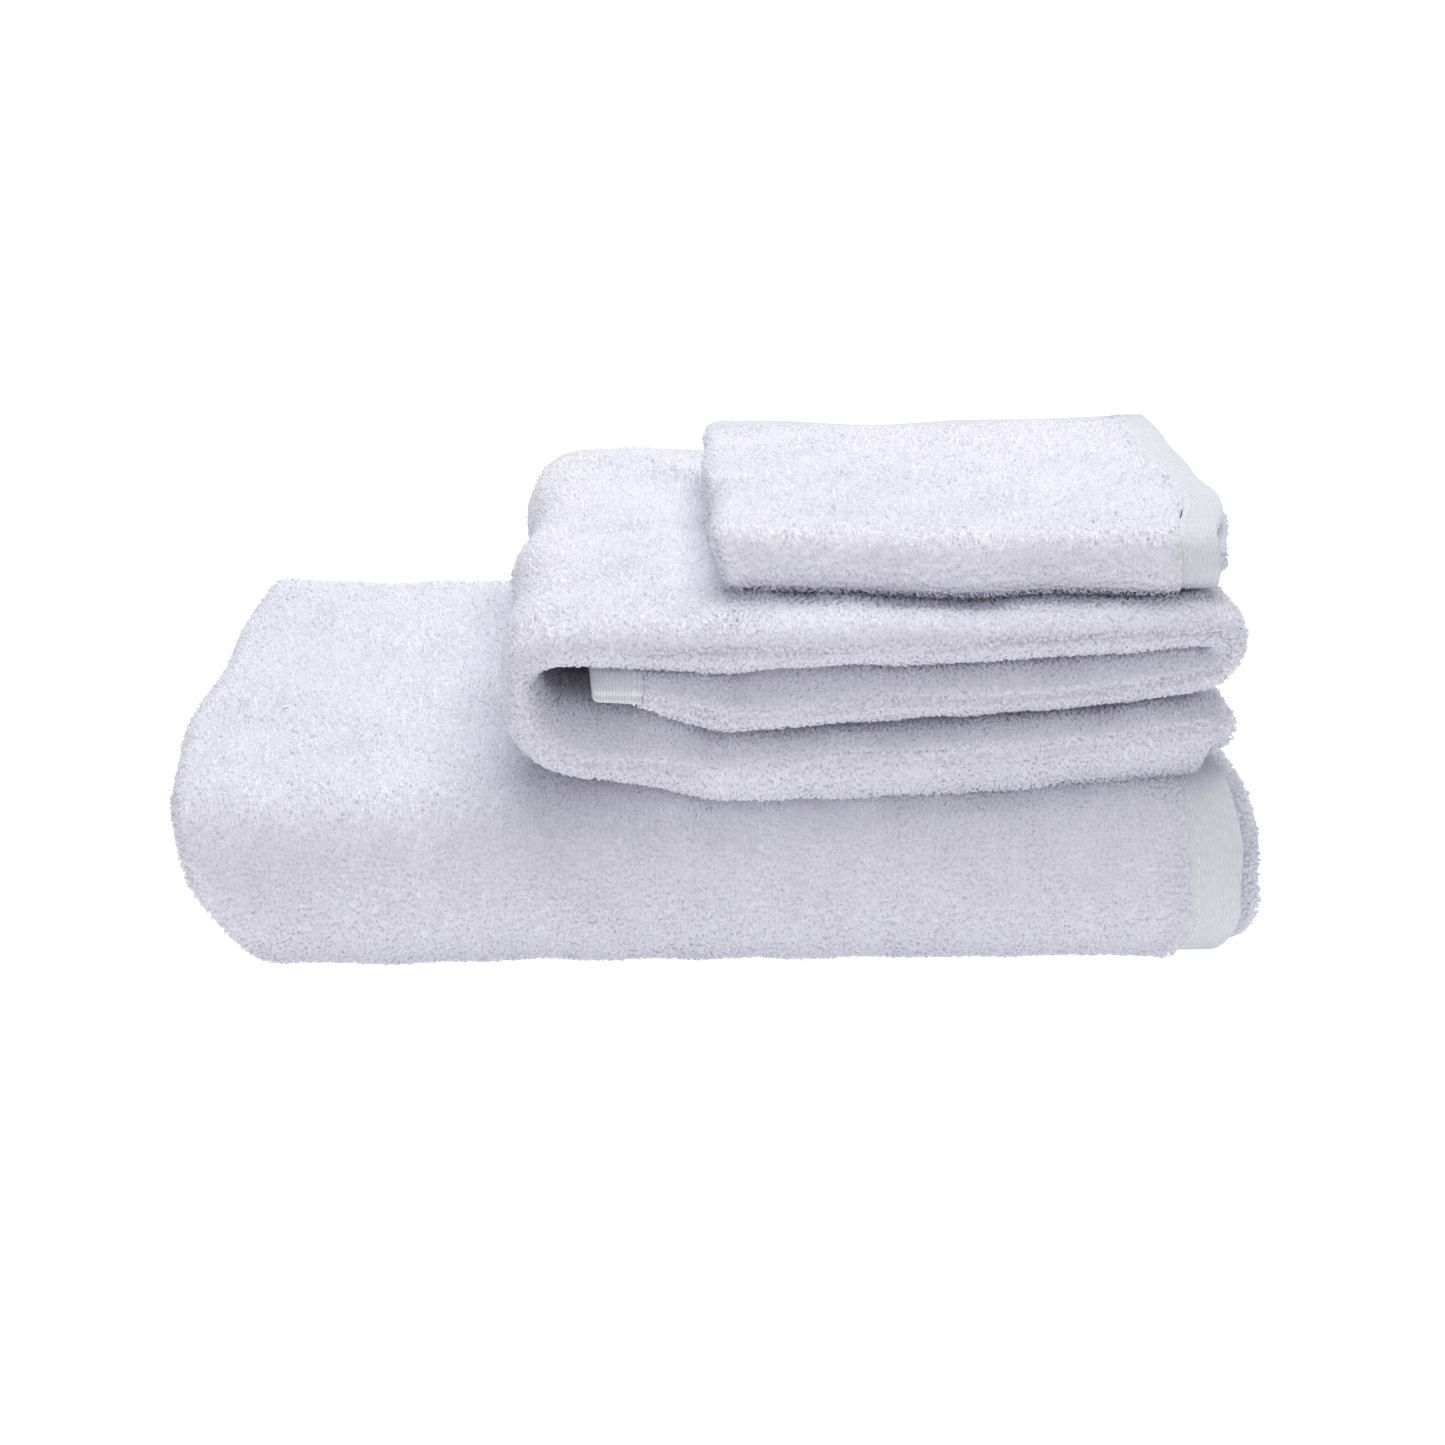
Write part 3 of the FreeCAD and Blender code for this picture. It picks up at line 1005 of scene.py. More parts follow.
@dataclass(frozen=True)
class Cotton:
    """White cotton: colours of its lit and shaded yarn, and how rough and furry it is.

    spread is how far the shade of one loop is from the next, and through is how much of the light
    that falls on a loop goes through it. A mottle is how cloudy a colour is.
    """

    # top is the colour over the top of a loop; foot is painted shade, the darker colour at a loop's
    # feet and on the ground between loops.
    top: Triple = (0.93, 0.925, 0.97)
    foot: Triple = (0.92, 0.91, 0.955)
    woven: Triple = (0.91, 0.91, 0.965)
    spread: float = 0.05
    roughness: float = 0.85
    thread_roughness: float = 0.6
    specular: float = 0.25
    sheen: float = 0.15
    sheen_roughness: float = 0.5
    through: float = 0.42
    ground_mottle: float = 0.25
    woven_mottle: float = 0.2
    thread_mottle: float = 0.12
    knots: float = 620.0
    knot_bump: Limits = (0.5, 0.3 * MM)
    rib_bump: Limits = (0.9, 0.3 * MM)
    # painted shade in the hem's rib grooves: how much the colour rises from groove to rib top, and its
    # factor in the grooves
    painted_groove_shade: Limits = (0.2, 0.82)

    def shell(self, name: str) -> tuple[bpy.types.Material, Tree, bpy.types.Node]:
        """A new material with its Principled BSDF set up as cotton.

        Args:
            name: Name of the material.

        Returns:
            The material, its tree and its shader.
        """
        material = bpy.data.materials.new(name)
        material.use_nodes = True
        shader = material.node_tree.nodes["Principled BSDF"]
        shader.inputs["Roughness"].default_value = self.roughness
        shader.inputs["Sheen Weight"].default_value = self.sheen
        shader.inputs["Sheen Roughness"].default_value = self.sheen_roughness
        shader.inputs["Specular IOR Level"].default_value = self.specular
        return material, Tree(material.node_tree), shader

    @staticmethod
    def bumped(
        tree: Tree, height: bpy.types.NodeSocket, bump: Limits, shader: bpy.types.Node
    ) -> None:
        """Feeds a height through a bump into a shader's normal.

        Args:
            tree: The material's tree.
            height: The height.
            bump: Strength and depth of the bump.
            shader: The shader.
        """
        strength, depth = bump
        node = tree.add(
            "ShaderNodeBump", {"Strength": strength, "Distance": depth, "Height": height}
        )
        tree.link(node.outputs[0], shader.inputs["Normal"])

    @staticmethod
    def mottled(
        tree: Tree, place: bpy.types.NodeSocket, colour: Triple, amount: float
    ) -> bpy.types.NodeSocket:
        """A colour made cloudy.

        Args:
            tree: The material's tree.
            place: Where on the object.
            colour: The even colour.
            amount: How cloudy it gets.

        Returns:
            The cloudy colour.
        """
        inputs = {"Vector": place, "Colour": (*colour, 1.0), "Amount": amount}
        return tree.add("ShaderNodeGroup", inputs, node_tree=GROUPS["mottle"]).outputs[0]

    def pile(self) -> bpy.types.Material:
        """Loops of yarn, coloured by the map that each loop carries, with painted shade towards their
        feet.

        Light goes through a loop in part. Its underside shows only the light that comes through.

        Returns:
            The material.
        """
        material, tree, shader = self.shell("terry_pile")
        uv = tree.add("ShaderNodeUVMap", uv_map=UV_NAME)
        parts = tree.add("ShaderNodeSeparateXYZ", {0: uv.outputs[0]}).outputs
        inputs = {
            "Random": parts[0],
            "Along": parts[1],
            "Foot": (*self.foot, 1.0),
            "Top": (*self.top, 1.0),
            "Spread": self.spread,
        }
        shade = tree.add("ShaderNodeGroup", inputs, node_tree=GROUPS["yarn"])
        tree.link(shade.outputs[0], shader.inputs["Base Color"])
        through = tree.add("ShaderNodeBsdfTranslucent", {"Color": shade.outputs[0]})
        under = tree.add("ShaderNodeNewGeometry").outputs["Backfacing"]
        share = tree.math("MULTIPLY_ADD", under, 1.0 - self.through, self.through)
        both = tree.add(
            "ShaderNodeMixShader", {0: share, 1: shader.outputs[0], 2: through.outputs[0]}
        )
        result = material.node_tree.nodes["Material Output"].inputs["Surface"]
        tree.link(both.outputs[0], result)
        return material

    def ground(self) -> bpy.types.Material:
        """The cloth that the loops stand in, in the darker foot colour of the loops: painted shade
        between them.

        Returns:
            The material.
        """
        material, tree, shader = self.shell("terry_ground")
        place = tree.add("ShaderNodeTexCoord").outputs["Object"]
        # Painted shade: the ground takes the darker foot colour of the loops, mottled.
        colour = self.mottled(tree, place, self.foot, self.ground_mottle)
        tree.link(colour, shader.inputs["Base Color"])
        knots = tree.add("ShaderNodeTexVoronoi", {"Vector": place, "Scale": self.knots})
        self.bumped(tree, knots.outputs[0], self.knot_bump, shader)
        return material

    def hem(self, name: str, ribs: float, picks: float, share: float) -> bpy.types.Material:
        """Flat woven hem with fine ribs along it, with painted shade in the grooves between the ribs.

        Args:
            name: Name of the material.
            ribs: Threads counted round the girth of the piece.
            picks: Threads counted along its length.
            share: How much of the height the ones round the girth have.

        Returns:
            The material.
        """
        material, tree, shader = self.shell(name)
        place = tree.add("ShaderNodeTexCoord").outputs["Object"]
        uv = tree.add("ShaderNodeUVMap", uv_map=UV_NAME)
        inputs = {"Vector": uv.outputs[0], "Ribs": ribs, "Picks": picks, "Rib share": share}
        weave = tree.add("ShaderNodeGroup", inputs, node_tree=GROUPS["rib"])
        colour = self.mottled(tree, place, self.woven, self.woven_mottle)
        # Painted shade: the colour darkens where the woven height is low, in the grooves between the
        # ribs.
        shaded = tree.math("MULTIPLY_ADD", weave.outputs[0], *self.painted_groove_shade)
        ribbed = tree.add("ShaderNodeVectorMath", {0: colour, 3: shaded}, operation="SCALE")
        tree.link(ribbed.outputs[0], shader.inputs["Base Color"])
        self.bumped(tree, weave.outputs[0], self.rib_bump, shader)
        return material

    def thread(self) -> bpy.types.Material:
        """Sewing thread, a little smoother than the cloth.

        Returns:
            The material.
        """
        material, tree, shader = self.shell("sewing_thread")
        shader.inputs["Roughness"].default_value = self.thread_roughness
        place = tree.add("ShaderNodeTexCoord").outputs["Object"]
        colour = self.mottled(tree, place, self.top, self.thread_mottle)
        tree.link(colour, shader.inputs["Base Color"])
        return material


# ---------------------------------------------------------------- towels


@dataclass(frozen=True)
class Sway:
    """The stack's shared soft unevenness: every towel moves with it, so they stay nested.

    Height changes by waves over the plan, and each height drifts sideways by waves of its own.
    Both fade out at the floor.
    """

    rise: Waves
    drift_x: Waves
    drift_y: Waves
    free_height: float = 24.0 * MM
    upward: float = 2.5

    def __call__(self, place: Array) -> Array:
        """Moves places by the sway.

        Args:
            place: Places, (..., 3).

        Returns:
            Places after the sway.
        """
        x, y, z = place[..., 0], place[..., 1], place[..., 2]
        free = ease(z / self.free_height)
        moved = place.copy()
        moved[..., 0] = x + free * self.drift_x(y, self.upward * z)
        moved[..., 1] = y + free * self.drift_y(x, self.upward * z)
        moved[..., 2] = z + free * self.rise(x, y)
        return moved


@dataclass(frozen=True)
class Patch:
    """A field of loops: its limits as path stations, and how far it goes across the skin.

    sparse is how much further apart its loops are than usual.
    """

    first: float
    last: float
    low: float
    high: float
    sparse: float = 1.0


@dataclass
class Towel:
    """One towel: its frame nodes, cloth size and how its pieces are made.

    across is the axis its strip is folded over, 0 for x and 1 for y, and outside tells which side
    of its path is the outer one. end_half is half the thickness of its end hems, and rim is how
    far the loops of a folded edge go on over skin that lies against another level. swell and
    crease are waves: a height, a shortest and a longest length.
    """

    label: str
    body: str
    flat: Limits
    rests_on: list[str]
    across: int
    outside: int
    levels: int
    seed: int
    sway: Sway
    cotton: Cotton = field(default_factory=Cotton)
    loops: Loops = field(default_factory=Loops)
    stitches: Stitches = field(default_factory=Stitches)
    pile_depth: float = 1.1 * MM
    hem_thick: float = 3.0 * MM
    rib_pitch: float = 0.85 * MM
    pick_pitch: float = 0.7 * MM
    end_half: float = 4.2 * MM
    crest: float = 1.5
    soft: float = 2.0 * MM
    low_limit: float = -1.0
    fuzz_marks: Limits = (0.0, 3.0)
    fuzz_spacing: float = 1.15 * MM
    fuzz_under: float = 2.0 * MM
    fuzz_past: float = 0.4 * MM
    fuzz_turn: Limits = (-2.4 * MM, 2.8 * MM)
    fuzz_bend: float = 0.75
    fuzz_out: float = 0.7
    fuzz_stray: float = 0.15
    swell: Triple = (0.42 * MM, 22.0 * MM, 70.0 * MM)
    crease: Triple = (1.0, 45.0 * MM, 120.0 * MM)
    side_rib_share: float = 0.8
    end_rib_share: float = 0.2
    rim: float = 12.0 * MM
    beyond: float = 20.0 * MM
    hem_share: float = 0.5
    hem_overlap: float = 1.0 * MM
    row_inset: float = 2.6 * MM
    end_round: float = 2.6 * MM
    row_gap: float = 6.0 * MM
    seam_gap: float = 0.3 * MM
    rim_taller: float = 0.3
    rim_width: float = 3.0 * MM
    comb: float = 0.2
    comb_lengths: Limits = (12.0 * MM, 60.0 * MM)

    def __post_init__(self) -> None:
        """Reads the frame's own sizes for this towel."""
        low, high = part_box(f"{self.label}_terry")
        self.low, self.high = np.array(low), np.array(high)
        out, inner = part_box(f"{self.label}_side_hem_outer"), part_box(f"{self.label}_side_hem_inner")
        self.seam_out, self.edge_out = out[0][self.across], out[1][self.across]
        self.seam_in, self.edge_in = inner[0][self.across], inner[1][self.across]
        gaps = FOLD_GAP * (self.levels - 1)
        self.ply = (self.high[2] - self.low[2] - gaps) / (2 * self.levels)
        self.pitch = 2 * self.ply + FOLD_GAP
        self.fold = self.low[self.across]
        run = 1 - self.across
        ends = (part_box(f"{self.label}_end_hem_{letter}") for letter in "ab")
        self.end_a, self.end_b = ((end[0][run], end[1][run]) for end in ends)
        self.end_hem = self.end_a[1] - self.end_a[0]
        self.made: list[bpy.types.Object] = []

    @property
    def wide(self) -> float:
        """Length of skin that is sure to reach from the folded edge past the open one."""
        return self.edge_in - self.fold + self.beyond

    def level(self, count: float) -> float:
        """Height of the middle of a run of the strip, counted from the lowest."""
        return self.low[2] + self.ply + self.pitch * count

    def path(self) -> FoldPath:
        """The towel's fold path."""
        raise NotImplementedError

    def patches(self) -> list[Patch]:
        """Where its loops stand."""
        raise NotImplementedError

    def lay(self, place: Array) -> Array:
        """How this towel in particular lies before the shared sway. As it is, unless said."""
        return self.sway(place)

    def keep(self, made: bpy.types.Object, slot: Slot, *nodes: str) -> bpy.types.Object:
        """Lets a piece ride on the towel's body, and hides the frame nodes that it stands for.

        Args:
            made: The piece.
            slot: Its material slot. Not used.
            nodes: Frame nodes that it stands for.

        Returns:
            The piece.
        """
        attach(made, self.body)
        if nodes:
            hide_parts(*nodes)
        self.made.append(made)
        LOG.info("%s: %d faces", made.name, len(made.data.polygons))
        return made

    def build(self) -> None:
        self.strip = Strip(
            path=self.path(),
            across=self.across,
            seam_out=self.seam_out,
            seam_in=self.seam_in,
            sway=self.lay,
            swell=Waves(*self.swell, self.seed + Draw.SWELL),
            crease=Waves(*self.crease, self.seed + Draw.CREASE),
            crest=self.crest,
        )
        length = self.strip.path.length
        cloth = self.strip.cloth(
            f"{self.label}_cloth",
            self.end_hem,
            length - self.end_hem,
            self.pile_depth,
            self.cotton.ground(),
        )
        self.keep(cloth, Slot.TERRY, f"{self.label}_terry")
        self.side_hems()
        self.edge_fuzz()
        self.end_hems(length)
        self.pile()

    def side_hems(self) -> None:
        """The two woven hems along the open edge, each with its row of stitches."""
        path = self.strip.path
        width = self.edge_out - self.seam_out
        girth = 2 * (width + self.hem_thick)
        ribs, picks = round(girth / self.rib_pitch), round(path.length / self.pick_pitch)
        woven = self.cotton.hem(f"{self.label}_side_weave", ribs, picks, self.side_rib_share)
        thread = self.cotton.thread()
        count = int(path.length / self.stitches.pitch)
        t = (np.arange(count) + 0.5) * path.length / count
        for which, sign, seam, edge in (
            ("outer", 1, self.seam_out, self.edge_out),
            ("inner", -1, self.seam_in, self.edge_in),
        ):
            sides, share = (seam - self.hem_overlap, edge), self.hem_share * sign
            band = self.strip.band(
                f"{self.label}_hem_{which}", sides, share, self.hem_thick, woven
            )
            self.keep(band, Slot.HEM, f"{self.label}_side_hem_{which}")
            _, _, half, _ = path.read(t)
            face = share * half + sign * self.hem_thick / 2
            line = self.strip.point(t, np.full(t.shape, seam + self.row_inset), face)
            normal = self.strip.outward(t) * sign
            row = self.stitches.mesh(f"{self.label}_row_{which}", line, normal, thread)
            self.keep(row, Slot.THREAD, f"{self.label}_side_stitches_{which}")

    def edge_fuzz(self) -> None:
        """Loops on the strip of the inner ply that reaches out past the outer hem.

        They turn from standing on the ply to standing out from its edge, over the last stretch.
        """
        path, strip = self.strip.path, self.strip
        rng = np.random.default_rng(self.seed + Draw.FUZZ_PLACES)
        first, last = (path.t_at(mark) for mark in self.fuzz_marks)
        sides = (self.edge_out - self.fuzz_under, self.edge_in + self.fuzz_past)
        t, side = scatter(rng, (first, last), sides, self.fuzz_spacing)
        _, _, half, _ = path.read(t)
        turned = self.fuzz_bend * ramp(side - self.edge_in, self.fuzz_turn)
        out = -self.hem_share * half + self.hem_thick * (0.5 - turned)
        place = strip.point(t, side, out)
        open_way = np.zeros(place.shape)
        open_way[..., self.across] = 1.0
        upright = strip.outward(t) * (1.0 - turned[:, None])
        normal = unit(upright + open_way * self.fuzz_out)
        ahead = unit(strip.point(t + MM, side, out) - place)
        fuzz = self.loops.mesh(
            f"{self.label}_edge_fuzz",
            place,
            normal,
            ahead,
            self.seed + Draw.FUZZ_LOOPS,
            self.cotton.pile(),
            self.low_limit,
            np.ones(len(t)),
            rng.normal(0.0, self.fuzz_stray, (len(t), 2)),
        )
        self.keep(fuzz, Slot.TERRY)

    def end_hems(self, length: float) -> None:
        """The woven hems on the strip's two ends, round both plies, with their stitches.

        Args:
            length: Length of the fold path.
        """
        path = self.strip.path
        girth = 4 * (self.seam_out - self.fold)
        ribs, picks = round(girth / self.pick_pitch), round(self.end_hem / self.rib_pitch)
        woven = self.cotton.hem(f"{self.label}_end_weave", ribs, picks, self.end_rib_share)
        thread = self.cotton.thread()
        for letter, start, rounded in (
            ("a", 0.0, (self.end_round, 0.0)),
            ("b", length - self.end_hem, (0.0, self.end_round)),
        ):
            stop = start + self.end_hem
            middle = path.read(np.array([(start + stop) / 2]))[2][0]
            thin = max(middle - self.end_half, 0.0)
            hem = self.strip.cloth(
                f"{self.label}_hem_{letter}", start, stop, thin, woven, rounded
            )
            self.keep(hem, Slot.HEM, f"{self.label}_end_hem_{letter}")
            row_t = stop - self.row_inset if letter == "a" else start + self.row_inset
            reach = self.seam_out - self.fold - self.row_gap
            q = np.arange(-reach, reach, self.stitches.pitch)
            t = np.full(q.shape, row_t)
            place, _, normal = self.strip.frame(t, q, thin)
            row = self.stitches.mesh(f"{self.label}_row_{letter}", place, normal, thread)
            self.keep(row, Slot.THREAD, f"{self.label}_end_stitches_{letter}")

    def from_seam(self, t: Array, q: Array) -> Array:
        """How far places on the skin lie from the seam of their ply's side hem.

        Args:
            t: Length along the path.
            q: Coordinate across the skin.

        Returns:
            Distances, above zero on the terry.
        """
        _, _, half, _ = self.strip.path.read(t)
        side, _, _ = self.strip.section(t, q, half - self.pile_depth, self.pile_depth)
        return np.where(q > 0.0, self.seam_out, self.seam_in) - side

    def pile(self) -> None:
        """The loops, in pieces of a size that one file can hold. They are tallest at the seam."""
        rng = np.random.default_rng(self.seed + Draw.PILE_PLACES)
        path = self.strip.path
        found = []
        for patch in self.patches():
            limits = (
                max(path.t_at(patch.first), self.end_hem),
                min(path.t_at(patch.last), path.length - self.end_hem),
            )
            spacing = self.loops.spacing * patch.sparse
            t, q = scatter(rng, limits, (patch.low, patch.high), spacing)
            from_seam = self.from_seam(t, q)
            inside = from_seam > self.seam_gap
            found.append(np.stack([t, q, from_seam])[:, inside])
        t, q, from_seam = np.concatenate(found, axis=1)
        place, ahead, normal = self.strip.frame(t, q, self.pile_depth)
        taller = 1.0 + self.rim_taller * np.exp(-((from_seam / self.rim_width) ** 2))
        draws = (Draw.COMB_ALONG, Draw.COMB_ACROSS)
        waves = [Waves(self.comb, *self.comb_lengths, self.seed + draw)(t, q) for draw in draws]
        comb = np.stack(waves, axis=-1)
        material = self.cotton.pile()
        count = math.ceil(len(t) / MOST_LOOPS)
        for n, chosen in enumerate(np.array_split(np.arange(len(t)), count), start=1):
            loops = self.loops.mesh(
                f"{self.label}_pile_{n}",
                place[chosen],
                normal[chosen],
                ahead[chosen],
                self.seed + Draw.PILE_LOOPS + n,
                material,
                self.low_limit,
                taller[chosen],
                comb[chosen],
            )
            self.keep(loops, Slot.TERRY)


@dataclass
class BathTowel(Towel):
    """Bath towel: halved across, then halved and folded in thirds, smooth bends to the front.

    A bulge or reach is how far a bend stands out, a draw how far the open side's hem runs in. A
    side or a height that something fades in over is given as where that starts and how wide it is.
    """

    square: float = 2.25
    low_tuck: float = 20.0 * MM
    side_bulge: float = 3.0 * MM
    middle_bulge: float = 9.0 * MM
    top_reach: float = 13.0 * MM
    back_puff: float = 2.5 * MM
    bottom_draw: float = 4.5 * MM
    top_draw: float = 4.0 * MM
    open_side: Limits = (60.0 * MM, 80.0 * MM)
    folded_side: Limits = (70.0 * MM, 80.0 * MM)
    bottom: Limits = (0.0, 27.0 * MM)
    middle: Limits = (0.0, 40.0 * MM)
    top: Limits = (42.0 * MM, 24.0 * MM)
    half_depth: float = 140.0 * MM

    def path(self) -> FoldPath:
        """Six levels: the bottom one turns up round the whole front into the top one.

        The folded edges of its runs lie a few millimetres in or out of one another.

        Returns:
            The path.
        """
        front = self.low[1] + 2.5 * self.pitch + self.ply
        back = self.high[1] - 1.5 * self.pitch - self.ply
        end = self.end_a[0]
        ply, pitch = self.ply, self.pitch
        left = self.fold - self.side_bulge
        tuck = self.fold + self.low_tuck

        def station(along: float, level: float, fold: float) -> Station:
            """A station of even thickness at the height of a level."""
            return Station(along, self.level(level), ply, fold)

        stations = [
            station(end, 3, left + 5 * MM),
            station(back, 3, left + 4 * MM),
            station(back, 0, tuck - 6 * MM),
            station(front, 0, tuck + 2 * MM),
            station(front, 5, left + 2 * MM),
            station(back, 5, left + 2 * MM),
            station(back, 4, left + 5 * MM),
            station(front, 4, left + 4 * MM),
            station(front, 1, tuck - 8 * MM),
            station(back, 1, tuck - 10 * MM),
            station(back, 2, left + 9 * MM),
            station(end, 2, left + 8 * MM),
        ]
        high = back + self.top_reach
        for n in (5, 6):
            lifted = stations[n].height + self.back_puff
            stations[n] = replace(stations[n], along=high, height=lifted)
        bends = (
            (back, 1.5, 1.5, 7 * MM),
            (front, 2.5, -2.5, 11 * MM),
            (high, 4.5, 0.5, 3 * MM),
            (front, 2.5, -1.5, 7 * MM),
            (back, 1.5, 0.5, 9 * MM),
        )
        turns = [
            Turn(station(middle + reach * pitch, level, left + fold), self.square)
            for middle, level, reach, fold in bends
        ]
        return FoldPath(stations, turns, self.outside, self.soft)

    def patches(self) -> list[Patch]:
        """Front bend, top, both back bends, the folded edges and thinly the underside.

        Returns:
            The patches.
        """
        rim, wide = self.rim, self.wide
        return [
            Patch(0.0, 1.0, -rim, rim, 1.05),
            Patch(1.0, 2.0, -rim, wide, 1.05),
            Patch(2.0, 3.0, -rim, wide, 2.0),
            Patch(3.0, 4.0, -rim, wide),
            Patch(4.0, 5.0, -rim, wide, 1.02),
            Patch(5.0, 6.0, -rim, wide, 1.05),
            Patch(6.0, 11.0, -rim, rim, 1.05),
        ]

    def lay(self, place: Array) -> Array:
        """The open side draws in at the top and the bottom, and the folded side bulges out.

        Args:
            place: Places, (..., 3).

        Returns:
            Places as this towel lies, after the shared sway.
        """
        height = place[..., 2]
        open_side = ramp(place[..., 0], self.open_side)
        low = -self.bottom_draw * (1.0 - ramp(height, self.bottom))
        high = -self.top_draw * ramp(height, self.top)
        drawn = place.copy()
        drawn[..., 0] += open_side * (low + high)
        folded_side = ramp(-place[..., 0], self.folded_side) * ramp(height, self.middle)
        middle = 1.0 - np.abs(np.clip(place[..., 1] / self.half_depth, -1.0, 1.0)) ** 3
        drawn[..., 0] -= self.middle_bulge * folded_side * middle
        return self.sway(drawn)


@dataclass
class HandTowel(Towel):
    """Hand towel: halved across, then four runs, with a loose bend hanging open on the left.

    layers are the shares of the height between which lie the tail, the first level, the end inside
    the loose bend and the top level, with a little air under the last two. lip is how much the
    outer ply of the lowest folded edge rolls over.
    """

    crest: float = 2.1
    rim: float = 15.0 * MM
    loop_half: float = 4.9 * MM
    right_rise: float = 5.0 * MM
    right_reach: float = 4.0 * MM
    front_recede: float = 18.0 * MM
    back_reach: float = 8.0 * MM
    lip: float = 11.0 * MM
    hollow_depth: float = 80.0 * MM
    droop: float = 5.0 * MM
    droop_width: float = 24.0 * MM
    droop_height: Limits = (14.0 * MM, 34.0 * MM)
    right_side: Limits = (20.0 * MM, 140.0 * MM)
    layers: tuple[float, ...] = (0.0, 0.168, 0.33, 0.338, 0.684, 0.692, 1.0)
    square: float = 2.1
    loop_square: float = 2.15

    def path(self) -> FoldPath:
        """Four levels: the end shows inside the loose bend, and the tail lies underneath.

        Returns:
            The path.
        """
        tall = self.high[2] - self.low[2]
        bottom = self.low[2]
        left = self.low[0] + self.pitch + self.ply
        high_bend = self.high[0] - self.pitch / 2 - self.ply + self.right_reach
        low_bend = high_bend - 2 * MM
        rise = self.right_rise
        steps = [bottom + tall * share for share in self.layers]

        def layer(n: int) -> tuple[float, float]:
            """Middle and half thickness of what lies between two steps."""
            return (steps[n] + steps[n + 1]) / 2, (steps[n + 1] - steps[n]) / 2

        tail, tail_half = layer(0)
        first, first_half = layer(1)
        inside, inside_half = layer(3)
        top, top_half = layer(5)
        edge = self.fold
        start, hem_start = self.end_a
        end, hem_end = self.end_b
        roll = left - (self.low[0] + self.loop_half)
        stations = [
            # the end that shows inside the loose bend, and its level
            Station(start - 2 * MM, inside + 7.0 * MM, self.end_half, edge),
            Station(hem_start - 2 * MM, inside + 6.4 * MM, self.end_half + 1.2 * MM, edge + 1 * MM),
            Station(hem_start + 26 * MM, inside, inside_half, edge + 2 * MM),
            Station(high_bend, inside + rise, inside_half - 0.5 * MM, edge + 2 * MM),
            # the top level
            Station(high_bend, top + 0.3 * rise, top_half - 0.3 * rise, edge),
            Station(left + 40 * MM, top, top_half, edge),
            Station(left + 32 * MM, top + 0.2 * MM, top_half, edge),
            Station(left - 5 * MM, bottom + tall - 7.2 * MM, 6.8 * MM, edge),
            # the first level, thick where it comes out of the loose bend
            Station(left + 7 * MM, bottom + 15.5 * MM, 10.2 * MM, edge + 1 * MM, 2 * MM),
            Station(left + 25 * MM, bottom + 15.8 * MM, 10.2 * MM, edge, 6 * MM),
            Station(left + 44 * MM, first, first_half, edge, self.lip),
            Station(
                low_bend, first + 0.8 * rise, first_half + 0.2 * rise, edge, self.lip + 0.7 * rise
            ),
            # the tail underneath
            Station(low_bend, tail + 0.2 * rise, tail_half + 0.2 * rise, edge + 12 * MM),
            Station(left + 60 * MM, tail, tail_half, edge + 15 * MM),
            Station(hem_end, bottom + 4.0 * MM, 3.9 * MM, edge + 16 * MM),
            Station(end, bottom + 3.8 * MM, 3.7 * MM, edge + 20 * MM),
        ]
        loop_tip = Station(
            left - roll - 3 * MM, bottom + 0.69 * tall, self.loop_half, edge + 0.5 * MM
        )

        def between(n: int, reach: float) -> Turn:
            """A bend from one station to the next.

            Args:
                n: Number of the first station.
                reach: How far the bend stands out.

            Returns:
                The bend.
            """
            one, two = stations[n], stations[n + 1]
            tip = Station(
                one.along + reach,
                (one.height + two.height) / 2,
                (one.half + two.half) / 2,
                (one.fold + two.fold) / 2,
                (one.lip + two.lip) / 4,
            )
            return Turn(tip, self.square)

        turns = [
            None,
            between(3, self.pitch / 2 + 1 * MM),
            None,
            Turn(loop_tip, self.loop_square),
            None,
            between(11, self.pitch / 2 + 5 * MM),
            None,
        ]
        return FoldPath(stations, turns, self.outside, self.soft)

    def patches(self) -> list[Patch]:
        """Top, the loose bend inside and out, the right bends, folded edges and underside.

        Returns:
            The patches.
        """
        rim, wide = self.rim, self.wide
        return [
            Patch(0.0, 3.0, -rim, rim),
            Patch(3.0, 4.0, -rim, wide, 1.05),
            Patch(4.0, 6.0, -rim, wide, 1.02),
            Patch(6.0, 7.0, -self.hollow_depth, wide, 1.02),
            Patch(7.0, 8.0, -self.hollow_depth, wide),
            Patch(8.0, 10.0, -self.hollow_depth, wide, 1.05),
            Patch(10.0, 11.0, -rim, rim),
            Patch(11.0, 12.0, -wide, rim, 1.05),
            Patch(12.0, 15.0, -wide, -rim, 2.0),
            Patch(12.0, 15.0, -rim, rim),
        ]

    def lay(self, place: Array) -> Array:
        """The folded front edge runs back to the right and droops over the towel below.

        Args:
            place: Places, (..., 3).

        Returns:
            Places as this towel lies, after the shared sway.
        """
        x, y = place[..., 0], place[..., 1]
        depth = self.edge_in - self.fold
        ahead = 1.0 - 0.75 * ease((y - self.fold) / depth)
        start, width = self.right_side
        right = np.clip((x - start) / width, 0.0, 1.2)
        moved = place.copy()
        moved[..., 1] = y + self.front_recede * ahead * right**1.2
        moved[..., 1] += self.back_reach * ease(y / (0.8 * self.edge_in))
        overhang = np.clip(1.0 - (y - self.fold) / self.droop_width, 0.0, 1.1)
        low = 1.0 - ramp(place[..., 2] - self.low[2], self.droop_height)
        hang = (1.0 - 0.4 * np.clip(right, 0.0, 1.0)) * low
        moved[..., 2] -= self.droop * overhang**2 * hang
        return self.sway(moved)


